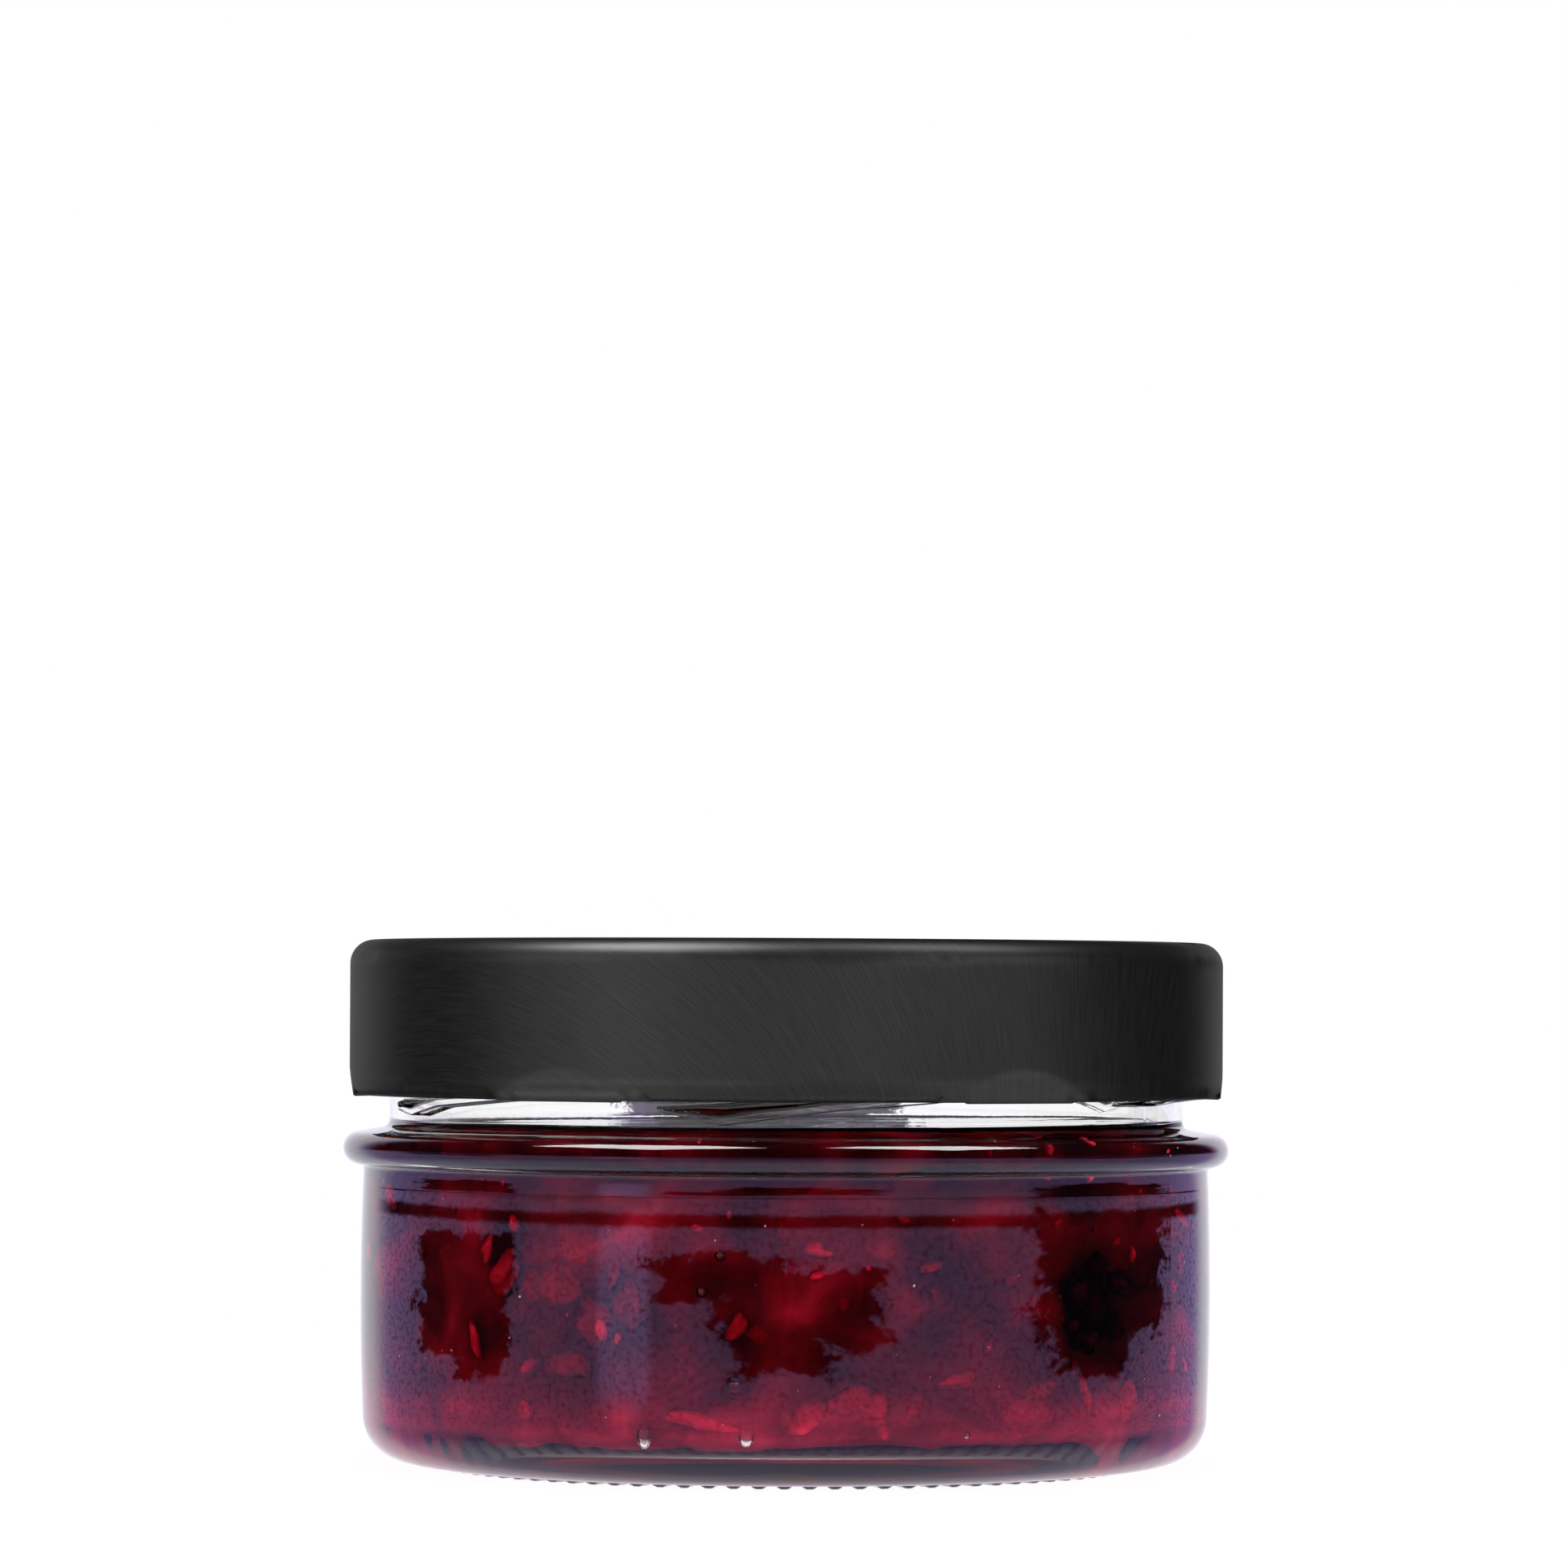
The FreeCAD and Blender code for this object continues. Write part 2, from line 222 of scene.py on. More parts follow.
# %% [markdown]
# ## A lathe in Geometry Nodes
# Blender's Spin tool turns an outline too, but its result can't be changed afterwards. Here a
# node tree does it: a flat grid has one column for each step round the axis and one row for
# each point of the outline, and every grid point is moved to its row's radius and height at
# its column's angle. Merge by Distance then closes the seam and the two poles. The same tree
# turns the glass, the jelly and the pulp, with a named input for the number of steps.
#
# The foot of the jar is knurled: 92 short bars, each with a round back, keep the hot jar from
# slipping on the steel belt. They follow a rule, so the tree presses them down out of the
# foot's flat, at the true pitch, and leaves the other turned pieces without them.

# %% Lathe tree
def new_tree(name, first, inputs):
    """A node tree that takes a first geometry and named inputs, with the sockets by key."""
    tree = bpy.data.node_groups.new(name, "GeometryNodeTree")
    socket = tree.interface.new_socket
    socket(first, in_out="INPUT", socket_type="NodeSocketGeometry")
    names = {key: socket(label, in_out="INPUT", socket_type="NodeSocket" + kind)
             for key, label, kind in [*inputs, ("material", "Material", "Material")]}
    socket("Geometry", in_out="OUTPUT", socket_type="NodeSocketGeometry")
    return tree, names, add(tree, "NodeGroupInput").outputs


def close_tree(tree, geometry, material):
    real = add(tree, "GeometryNodeRealizeInstances", {"Geometry": geometry})
    done = add(tree, "GeometryNodeSetMaterial", {"Geometry": real, "Material": material})
    add(tree, "NodeGroupOutput", {0: done})
    print("the", tree.name, "tree has", len(tree.nodes), "nodes")


RING_HEIGHT = 0.45              # height of the foot's flat, in mm
KNURL_FLAT = 0.922              # a knurl's round back stops at this share of its radius
KNURL_END = 50.0                # degrees from level, of a knurl's sloping ends


def lathe_tree():
    tree, names, given = new_tree("lathe", "Outline", [
        ("steps", "Steps", "Int"), ("knurls", "Knurls", "Int"),
        ("round", "Knurl radius", "Float"), ("inner", "Knurl inner end", "Float"),
        ("length", "Knurl length", "Float")])
    # One row for each point of the outline, one column for each step and one to close it.
    rows = add(tree, "GeometryNodeAttributeDomainSize",
               {"Geometry": given["Outline"]}, component="MESH").outputs["Point Count"]
    columns = add(tree, "ADD", [given["Steps"], 1.0])
    grid = add(tree, "GeometryNodeMeshGrid", {"Vertices X": columns, "Vertices Y": rows})
    index = add(tree, "GeometryNodeInputIndex")
    row = add(tree, "MODULO", [index, rows])
    column = add(tree, "FLOOR", [add(tree, "DIVIDE", [add(tree, "ADD", [index, 0.5]), rows])])
    position = add(tree, "GeometryNodeInputPosition")
    sample = add(tree, "GeometryNodeSampleIndex",
                 {"Geometry": given["Outline"], "Value": position, "Index": row},
                 data_type="FLOAT_VECTOR", domain="POINT")
    spot = add(tree, "ShaderNodeSeparateXYZ", {0: sample}).outputs
    radius, height = spot["X"], spot["Z"]
    part_turn = add(tree, "DIVIDE", [column, given["Steps"]])

    # A knurl's underside: a round back, at a distance across from its middle line.
    count = add(tree, "MULTIPLY", [part_turn, given["Knurls"]])
    off = add(tree, "SUBTRACT", [add(tree, "FRACT", [add(tree, "ADD", [count, 0.5])]), 0.5])
    girth = add(tree, "MULTIPLY", [radius, 2 * math.pi])
    across = add(tree, "MULTIPLY", [off, add(tree, "DIVIDE", [girth, given["Knurls"]])])
    square = add(tree, "SUBTRACT", [add(tree, "POWER", [given["Knurl radius"], 2.0]),
                                    add(tree, "MULTIPLY", [across, across])])
    back = add(tree, "SQRT", [add(tree, "MAXIMUM", [square, 0.0])])
    sunk = add(tree, "MULTIPLY", [given["Knurl radius"], KNURL_FLAT])
    level = add(tree, "SUBTRACT", [sunk, back])
    # Its two ends slope up into the foot's flat.
    slope = math.tan(math.radians(KNURL_END))
    half = RING_HEIGHT * MM / slope
    inner = add(tree, "ADD", [given["Knurl inner end"], half])
    outer = add(tree, "ADD", [given["Knurl inner end"], given["Knurl length"]])
    outer = add(tree, "SUBTRACT", [outer, half])
    rise_in = add(tree, "MULTIPLY", [add(tree, "SUBTRACT", [inner, radius]), slope])
    rise_out = add(tree, "MULTIPLY", [add(tree, "SUBTRACT", [radius, outer]), slope])
    bar = add(tree, "MAXIMUM", [level, 0.0, rise_in, rise_out])
    low = add(tree, "MINIMUM", [height, bar])
    is_foot = add(tree, "MULTIPLY", [add(tree, "LESS_THAN", [height, 2 * MM]),
                                     add(tree, "GREATER_THAN", [given["Knurls"], 0.5])])
    final = add(tree, "ShaderNodeMix", {0: is_foot, 2: height, 3: low}, data_type="FLOAT")

    turn = add(tree, "MULTIPLY", [part_turn, 2 * math.pi])
    where = add(tree, "ShaderNodeCombineXYZ", {
        "X": add(tree, "MULTIPLY", [radius, add(tree, "COSINE", [turn])]),
        "Y": add(tree, "MULTIPLY", [radius, add(tree, "SINE", [turn])]), "Z": final})
    shaped = add(tree, "GeometryNodeSetPosition", {"Geometry": grid, "Position": where})
    merged = add(tree, "GeometryNodeMergeByDistance",
                 {"Geometry": shaped, "Distance": 0.001 * MM})
    smooth = add(tree, "GeometryNodeSetShadeSmooth", {"Geometry": merged})
    close_tree(tree, smooth, given["Material"])
    return tree, names


LATHE, LATHE_INPUTS = lathe_tree()

# %% [markdown]
# A modifier's result is live. `new_from_object` freezes it as a plain mesh, after which the
# modifier goes. The empty material slot that comes with it goes too, so that a slot's number
# means what it says. Last, the normals are made to point outwards, since a turned grid may come
# out inside out, and the mesh is checked for open edges.

# %% Turning an outline
def freeze(piece):
    """Swaps a piece's modifiers for the plain mesh they make."""
    shown = piece.evaluated_get(bpy.context.evaluated_depsgraph_get())
    made = bpy.data.meshes.new_from_object(shown)
    made.name = piece.name
    finish = [material for material in made.materials if material]
    made.materials.clear()
    for material in finish:
        made.materials.append(material)
    made.polygons.foreach_set("material_index", [0] * len(made.polygons))
    piece.modifiers.clear()
    piece.data = made
    shape = bmesh.new()
    shape.from_mesh(made)
    bmesh.ops.recalc_face_normals(shape, faces=shape.faces)
    if shape.calc_volume(signed=True) < 0:
        bmesh.ops.reverse_faces(shape, faces=shape.faces)
    loose = sum(1 for edge in shape.edges if not edge.is_manifold)
    triangles = sum(len(face.verts) - 2 for face in shape.faces)
    shape.to_mesh(made)
    shape.free()
    made.shade_smooth()
    print(piece.name, triangles, "triangles,", loose, "open edges")
    return piece


def run_tree(piece, tree, names, values):
    modifier = piece.modifiers.new(tree.name, "NODES")
    modifier.node_group = tree
    for key, value in values.items():
        modifier[names[key].identifier] = value


def placed(name, data):
    piece = bpy.data.objects.new(name, data)
    bpy.context.scene.collection.objects.link(piece)
    return piece


def turned(name, outline, material, steps, knurls=0):
    mesh = bpy.data.meshes.new(name)
    points = [(r * MM, 0.0, z * MM) for r, z in outline]
    mesh.from_pydata(points, [(i, i + 1) for i in range(len(points) - 1)], [])
    piece = placed(name, mesh)
    run_tree(piece, LATHE, LATHE_INPUTS, {
        "steps": steps, "knurls": knurls, "round": 0.9 * MM, "inner": 32.0 * MM,
        "length": 3.0 * MM, "material": material})
    return freeze(piece)


jar = turned("glass_jar", jar_outline, glass, 736, 92)

# %% [markdown]
# ## Threads
# A twist-off finish has one short thread for each of the lid's six lugs. A thread starts as a
# leaf low on the neck, so that a lug can enter from any side, then ramps up to a level run
# that the lug pulls against. The neck's rows of points are moved instead of new faces being
# added: in every column the rows close up at the thread's lower edge, so the sharp underside
# stays sharp, and then each point moves out to the thread's face at its height.

# %% Thread sizes
THREAD_DEPTH, THREAD_HEIGHT = 2.0, 1.3
starts = ((-12.0, -2.0, -1.8), (-18.5, -9.5, -2.4), (-8.0, -2.0, -0.6))  # tip, lowest, its height
lock_low, lock_end = 0.73, 56.0
HIGHEST_EDGE = 36.4             # a thread's lower edge is drawn up to this height


def thread_lines(start):
    """Angles, and heights over the lid's foot, of a thread's lower edge, with its heights."""
    tip, low_angle, low_height = start

    def top(angle):
        return -0.05 + 0.043 * (angle + 5.0)
    foot = max(-0.87, low_height + 0.3)
    angles = [tip, low_angle, 5.0, 20.0, 23.5, lock_end]
    lows = [top(tip) - 0.3, max(low_height, -2.22), foot, -0.09, lock_low, lock_low + 0.15]
    tall = [(tip, 0.3), (low_angle, top(low_angle) - low_height), (20.0, THREAD_HEIGHT),
            (lock_end, THREAD_HEIGHT)]
    return angles, lows, tall


print("the front thread's lower edge, by angle:",
      [(angle, round(low, 2)) for angle, low in zip(*thread_lines(starts[1])[:2])])

# %% Raising the threads
coordinates = np.empty(len(jar.data.vertices) * 3)
jar.data.vertices.foreach_get("co", coordinates)
coordinates = coordinates.reshape(-1, 3)
radii = np.hypot(coordinates[:, 0], coordinates[:, 1]) / MM
heights = coordinates[:, 2] / MM
azimuths = np.degrees(np.arctan2(coordinates[:, 0], -coordinates[:, 1]))
on_neck = np.abs(radii - NECK) < 0.002
in_band = on_neck & (heights > band_foot - 0.001) & (heights < band_top + 0.001)

# The line that the rows close up on, all the way round the neck.
line_angles, line_heights = [], []
for i in range(-1, 8):
    angles, lows, tall = thread_lines(starts[(i + 6) % 3])
    for angle, low in zip(angles[:4], lows[:4]):
        line_angles.append((i - 1) * 60 + 1 + angle)
        line_heights.append(FOOT + low)
    line_angles.append((i - 1) * 60 + 1 + 23.0)
    line_heights.append(HIGHEST_EDGE)
wrapped = np.where(azimuths < -60, azimuths + 360, azimuths)
edge = np.clip(np.interp(wrapped, line_angles, line_heights), band_foot + 0.1, HIGHEST_EDGE)
share_below = np.array([0.0, 0.3, 0.6, 0.85])
row_step = (band_top - band_foot) / (band_rows - 1)
row = np.rint((heights - band_foot) / row_step).astype(int)
offsets = np.array([-0.06, -0.03, -0.01, 0.01, 0.04, 0.09, 0.18])
new_heights = heights.copy()
for k in range(band_rows):
    mine = in_band & (row == k)
    low = edge[mine]
    if k < 4:
        new_heights[mine] = band_foot + (low - 0.06 - band_foot) * share_below[k]
    elif k < 11:
        new_heights[mine] = low + offsets[k - 4]
    else:
        new_heights[mine] = low + 0.18 + (band_top - low - 0.18) * (k - 10) / (band_rows - 11)

raised = np.zeros(len(radii))
for i in range(6):
    angles, lows, tall = thread_lines(starts[i % 3])
    along = (azimuths - (i - 1) * 60 - 1 + 90) % 360 - 90
    inside_run = on_neck & (along >= angles[0]) & (along <= lock_end)
    low = FOOT + np.interp(along, angles, lows)
    high = low + np.interp(along, [t[0] for t in tall], [t[1] for t in tall])
    corner = low + 0.45 * (high - low)
    up = new_heights - low
    under = np.clip((up + 0.03) / 0.10, 0, 1)
    over = np.clip(1 - (new_heights - corner) / ((high - corner) * 0.77 + 1e-6), 0, 1)
    ends = np.minimum(1, 0.3 + 0.7 * np.minimum(along - angles[0], lock_end - along) / 6.0)
    rise = THREAD_DEPTH * ends * (3 * under ** 2 - 2 * under ** 3) * over
    raised = np.maximum(raised, np.where(inside_run, rise, 0))
grown = (radii + raised) / np.maximum(radii, 1e-6)
coordinates[:, 0] *= grown
coordinates[:, 1] *= grown
coordinates[:, 2] = new_heights * MM

# The mould's seam: one column of points on each side stands 0.02 mm proud.
SEAM = 62.0
on_seam = np.minimum(np.abs(azimuths - SEAM), np.abs(azimuths - SEAM + 180)) < 0.245
on_seam &= (radii > 38.5) & (heights > 3.0) & (heights < 36.0)
coordinates[on_seam, :2] *= (1 + 0.02 / radii[on_seam])[:, None]
print("the seam has", int(on_seam.sum()), "points")
jar.data.vertices.foreach_set("co", coordinates.ravel())
jar.data.update()
print("threads stand out by", round(float(raised.max()), 2), "mm")

# %% Where the jelly wets the glass
# One row of the inner wall is moved to the jelly's edge, and the faces below it change glass.
for vertex in jar.data.vertices:
    x, y, z = (c / MM for c in vertex.co)
    radius = math.hypot(x, y)
    if 30.0 < z < 35.0 and abs(radius - float(wall_radius(z))) < 0.01:
        share = (z - 30.0) / (LEVEL - 30.0) if z < LEVEL else (35.0 - z) / (35.0 - LEVEL)
        risen = z + lift(x, y) * max(0.0, min(1.0, share))
        grow = float(wall_radius(risen)) / radius
        vertex.co = Vector((x * grow, y * grow, risen)) * MM
jar.data.materials.append(wetted_glass)
wetted = 0
for face in jar.data.polygons:
    x, y, z = (c / MM for c in face.center)
    if 3.5 < z < LEVEL + lift(x, y) and math.hypot(x, y) < BORE + 0.02:
        face.material_index = jar.data.materials.find(wetted_glass.name)
        wetted += 1
print(wetted, "faces of the glass are wetted")
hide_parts("jar")
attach(jar, "root")

# %% [markdown]
# ## Jelly
# Between the pieces of fruit, jam is a clear jelly of sugar, pectin and berry juice. Juice
# takes out green and blue light within a millimetre and lets red through, so a thin layer is
# bright red and a thick one is nearly black. That is not a colour on its skin but absorption
# in its depth, so the jelly gets a Volume Absorption and a clear surface. The jelly reaches a
# little way into the glass: with an air gap between them the wall would shine like a mirror.

# %% Jelly material
JELLY_COLOUR, JELLY_DENSITY = (0.55, 0.00, 0.20, 1.0), 1000.0


def new_jelly(name, bending, lump_height):
    material, tree, place = new_material(name)
    absorb = add(tree, "ShaderNodeVolumeAbsorption",
                 {"Color": JELLY_COLOUR, "Density": JELLY_DENSITY})
    clots = add(tree, "ShaderNodeTexNoise", {"Vector": place, "Scale": 900.0, "Detail": 2.0})
    bump = add(tree, "ShaderNodeBump",
               {"Strength": 1.0, "Distance": lump_height * MM, "Height": clots})
    shader = add(tree, "ShaderNodeBsdfPrincipled", {**CLEAR, "IOR": bending, "Normal": bump})
    add(tree, "ShaderNodeOutputMaterial", {"Surface": shader, "Volume": absorb})
    return material


jelly = new_jelly("berry_jelly_against_glass", 1.0, 0.0)
jelly_top = new_jelly("berry_jelly_free_surface", JELLY_INDEX, 0.002)
print("jelly absorbs", [round(1 - c, 3) for c in JELLY_COLOUR[:3]], "per mm")

# %% Jelly shape
REACH = 0.05                    # how far the jelly reaches into the glass

jelly_outline = [(0.0, 5.2 - REACH)] + dome(5.2 - REACH, (34.3, 3.6 - REACH), 6)
jelly_outline += arc(HEEL, HEEL_RADIUS + REACH, -90, 0, 10)
jelly_outline += run((BORE + REACH, HEEL[1]), (BORE + REACH, SHOULDER), 6)
climb = np.linspace(SHOULDER, LEVEL, 13)[1:]
jelly_outline += [(float(wall_radius(z)) + REACH, float(z)) for z in climb]
jelly_outline += [(r, LEVEL - 0.12 * (1 - math.exp(-(36.9 - r) / 0.8)))
                  for r in (36.7, 36.4, 35.9, 35.2)]
jelly_outline += [(r, LEVEL - 0.12) for r in (34, 32, 30, 27, 24, 21, 18, 15, 12, 9, 6, 3, 0)]
jam_jelly = turned("jam_jelly", jelly_outline, jelly, 288)

# %% The jelly's uneven top
jam_jelly.data.materials.append(jelly_top)
for vertex in jam_jelly.data.vertices:
    x, y, z = (c / MM for c in vertex.co)
    if z > 30.0:
        risen = z + lift(x, y) * min(1.0, (z - 30.0) / (LEVEL - 30.0))
        radius = math.hypot(x, y)
        if abs(radius - float(wall_radius(z)) - REACH) < 0.02:
            grow = (float(wall_radius(risen)) + REACH) / radius
            x, y = x * grow, y * grow
        vertex.co = Vector((x, y, risen)) * MM
jam_jelly.data.update()
for face in jam_jelly.data.polygons:
    if face.center.z > 30 * MM and face.normal.z > 0.7:
        face.material_index = jam_jelly.data.materials.find(jelly_top.name)
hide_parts("jam")
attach(jam_jelly, "root")
print("the jelly's top is", round(LEVEL + lift(-36, 0), 2), "mm up at the left and",
      round(LEVEL + lift(36, 0), 2), "mm at the right")

# %% [markdown]
# ## Pulp
# Deeper in, so much crushed fruit hangs in the jelly that it reads as one lumpy mass. It
# could be hundreds of loose pieces, of which nobody would see more than the front ones. One
# closed body just behind the jelly's skin shows the same: where a lump comes near the glass
# it looks red, and where it falls back the jelly in front darkens it. A node tree pushes the
# turned body in and out along its normals by noise, with sizes set by name.

# %% Lumpy tree
def lumpy_tree():
    tree, names, given = new_tree("lumpy", "Geometry", [
        (key, label, "Float") for key, label in (
            ("lump", "Lump size"), ("depth", "Depth"), ("fine", "Fine size"),
            ("fine_depth", "Fine depth"), ("packed", "Packed to"), ("seed", "Seed"))])
    spot = add(tree, "GeometryNodeInputPosition")
    pushes = []
    for size, depth, detail in (("Lump size", "Depth", 1.0), ("Fine size", "Fine depth", 2.0)):
        noise = add(tree, "ShaderNodeTexNoise",
                    {"Vector": spot, "W": given["Seed"],
                     "Scale": add(tree, "DIVIDE", [1.0, given[size]]), "Detail": detail},
                    noise_dimensions="4D")
        noise = add(tree, "SUBTRACT", [noise, 0.5])
        pushes.append(add(tree, "MULTIPLY", [noise, given[depth]]))
    # Pulp sinks and packs against the floor, so the lumps flatten out towards it.
    height = add(tree, "ShaderNodeSeparateXYZ", {0: spot}).outputs["Z"]
    calm = add(tree, "ShaderNodeMapRange",
               {"Value": height, "From Min": 5 * MM, "From Max": given["Packed to"],
                "To Min": 0.25, "To Max": 1.0})
    push = add(tree, "MULTIPLY", [add(tree, "ADD", pushes), calm])
    along = add(tree, "ShaderNodeVectorMath",
                {0: add(tree, "GeometryNodeInputNormal"), "Scale": push}, operation="SCALE")
    moved = add(tree, "GeometryNodeSetPosition",
                {"Geometry": given["Geometry"], "Offset": along})
    close_tree(tree, moved, given["Material"])
    return tree, names


LUMPY, LUMPY_INPUTS = lumpy_tree()

# %% Pulp material
def fruit_finish(name, pattern, low, high, shine, middle=None):
    """A mottled fruit colour: noise runs from a low to a high (place on the ramp, colour)."""
    material, tree, place = new_material(name)
    cloud = add(tree, "ShaderNodeTexNoise", {"Vector": place, **pattern})
    shade = add(tree, "ShaderNodeValToRGB", {"Fac": cloud})
    stops = shade.color_ramp.elements
    for stop, (spot, colour) in zip(stops, (low, high)):
        stop.position, stop.color = spot, linear(colour)
    if middle:
        stops.new(middle[0]).color = linear(middle[1])
    shader = add(tree, "ShaderNodeBsdfPrincipled", {"Base Color": shade, **shine})
    add(tree, "ShaderNodeOutputMaterial", {"Surface": shader})
    return material


# Crushed flesh is pale where it is torn and dark where juice stands in it, in clouds some
# millimetres wide, and it hardly shines.
pulp = fruit_finish("crushed_berry_pulp",
                    {"Scale": 130.0, "Detail": 4.0, "Roughness": 0.55, "Distortion": 0.6},
                    (0.36, "A01830"), (0.60, "E83A58"),
                    {"Roughness": 0.6, "Specular IOR Level": 0.1}, (0.50, "CC2844"))
print("pulp's middle red is", [round(c, 2) for c in linear("CC2844")[:3]])

# %% Pulp shape
BERRY_TURN, BERRY_HEIGHT = 50.2, 16.5   # where the whole berry in front sits, in degrees and mm
PULP_REACH = 4.3                # its reach from the heel's centre, 0.3 mm short of the glass

pulp_outline = [(0.0, 5.9)] + dome(5.9, (34.2, 4.3), 16)
pulp_outline += arc((34.2, 8.2), 4.25, -90, -50, 6) + arc((34.1, 8.1), 3.85, -44, -18, 4)
pulp_outline += run((37.1, 8.6), (36.6, 15.0), 9) + run((36.6, 15.0), (36.8, 26.5), 15)
pulp_outline += run((36.6, 26.9), (34.5, 31.4), 8) + arc((33.4, 31.0), 1.25, 20, 85, 4)
pulp_outline += [(r, 32.3) for r in np.linspace(32.4, 0, 18)]
jam_pulp = turned("jam_pulp", pulp_outline, pulp, 288)
run_tree(jam_pulp, LUMPY, LUMPY_INPUTS, {
    "lump": 6.0 * MM, "depth": 5.5 * MM, "fine": 1.6 * MM, "fine_depth": 1.0 * MM,
    "packed": 14.0 * MM, "seed": 4.0, "material": pulp})
freeze(jam_pulp)
spots = np.array([list(v.co) for v in jam_pulp.data.vertices]) / MM
print("pulp comes out to", round(float(np.hypot(spots[:, 0], spots[:, 1]).max()), 2), "mm")
for vertex in jam_pulp.data.vertices:
    radius = math.hypot(vertex.co.x, vertex.co.y) / MM
    height = vertex.co.z / MM
    # It falls back round that berry.
    turn = math.atan2(vertex.co.x, -vertex.co.y) - math.radians(BERRY_TURN)
    near = math.hypot(turn * 38.0, height - BERRY_HEIGHT)
    if abs(turn) < 0.4 and radius > 30.0:
        shrink = (radius - 3.0 * math.exp(-(near / 5.2) ** 2)) / radius
        vertex.co.x *= shrink
        vertex.co.y *= shrink
        radius *= shrink
    # It stays 0.4 mm behind the wall, 0.3 mm behind the heel, and under the jelly's top.
    top = min(38.5, float(wall_radius(height)) - 0.4)
    if height < HEEL[1] and radius > HEEL[0]:
        far = math.hypot(radius - HEEL[0], height - HEEL[1])
        if far > PULP_REACH:
            top = min(top, HEEL[0] + (radius - HEEL[0]) * PULP_REACH / far)
            height = HEEL[1] + (height - HEEL[1]) * PULP_REACH / far
    height = max(height, 5.5 - 1.6 * min(1.0, radius / HEEL[0]) ** 2)
    if radius > top:
        vertex.co.x *= top / radius
        vertex.co.y *= top / radius
    vertex.co.z = min(height, LEVEL - 0.5) * MM
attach(jam_pulp, "root")

# %% [markdown]
# ## Pieces of fruit
# Torn flesh, strips of skin and a few whole dark berries hang between the pulp and the glass.
# The larger ones are placed from a table of angle round the jar, height, depth behind
# the glass, size and tilt. Each starts as a ball of a few hundred faces, is drawn out to its
# size, and has its points moved by noise so that no two are alike.

# %% Flesh material
# A berry's flesh is wet and soft, with veins about a millimetre apart.
flesh = fruit_finish("berry_flesh", {"Scale": 900.0, "Detail": 3.0, "Distortion": 1.0},
                     (0.35, "D01230"), (0.65, "F02848"),
                     {"Roughness": 0.5, "Specular IOR Level": 0.1})
print("flesh is", flesh.name)

# %% Placing a piece
def lump(shape, azimuth, height, depth, size, tilt, seed, rough=0.35, level=3):
    """A torn ball: width across, height up and thickness in mm, tilted in the glass's plane."""
    made = bmesh.ops.create_icosphere(shape, subdivisions=level, radius=0.5)["verts"]
    dice = random.Random(seed)
    waves = [(Vector([dice.uniform(-1, 1) for _ in range(3)]).normalized() * dice.uniform(4, 14),
              dice.uniform(0, 6.3)) for _ in range(6)]
    turn = math.radians(azimuth)
    facing = Matrix.Rotation(turn, 4, "Z")
    lean = Matrix.Rotation(math.radians(tilt), 4, "Y")
    out = BORE - depth - size[2] / 2
    centre = Vector((out * math.sin(turn), -out * math.cos(turn), height))
    for vertex in made:
        wobble = sum(math.sin(w.dot(vertex.co) + p) for w, p in waves) / 6
        spot = vertex.co * (1 + rough * wobble)
        spot = Vector((spot.x * size[0], spot.y * size[2], spot.z * size[1]))
        vertex.co = (centre + facing @ (lean @ spot)) * MM


def joined(name, shape, material):
    mesh = bpy.data.meshes.new(name)
    bmesh.ops.recalc_face_normals(shape, faces=shape.faces)
    shape.to_mesh(mesh)
    shape.free()
    mesh.materials.append(material)
    mesh.shade_smooth()
    piece = placed(name, mesh)
    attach(piece, "root")
    print(name, sum(len(f.vertices) - 2 for f in mesh.polygons), "triangles")
    return piece


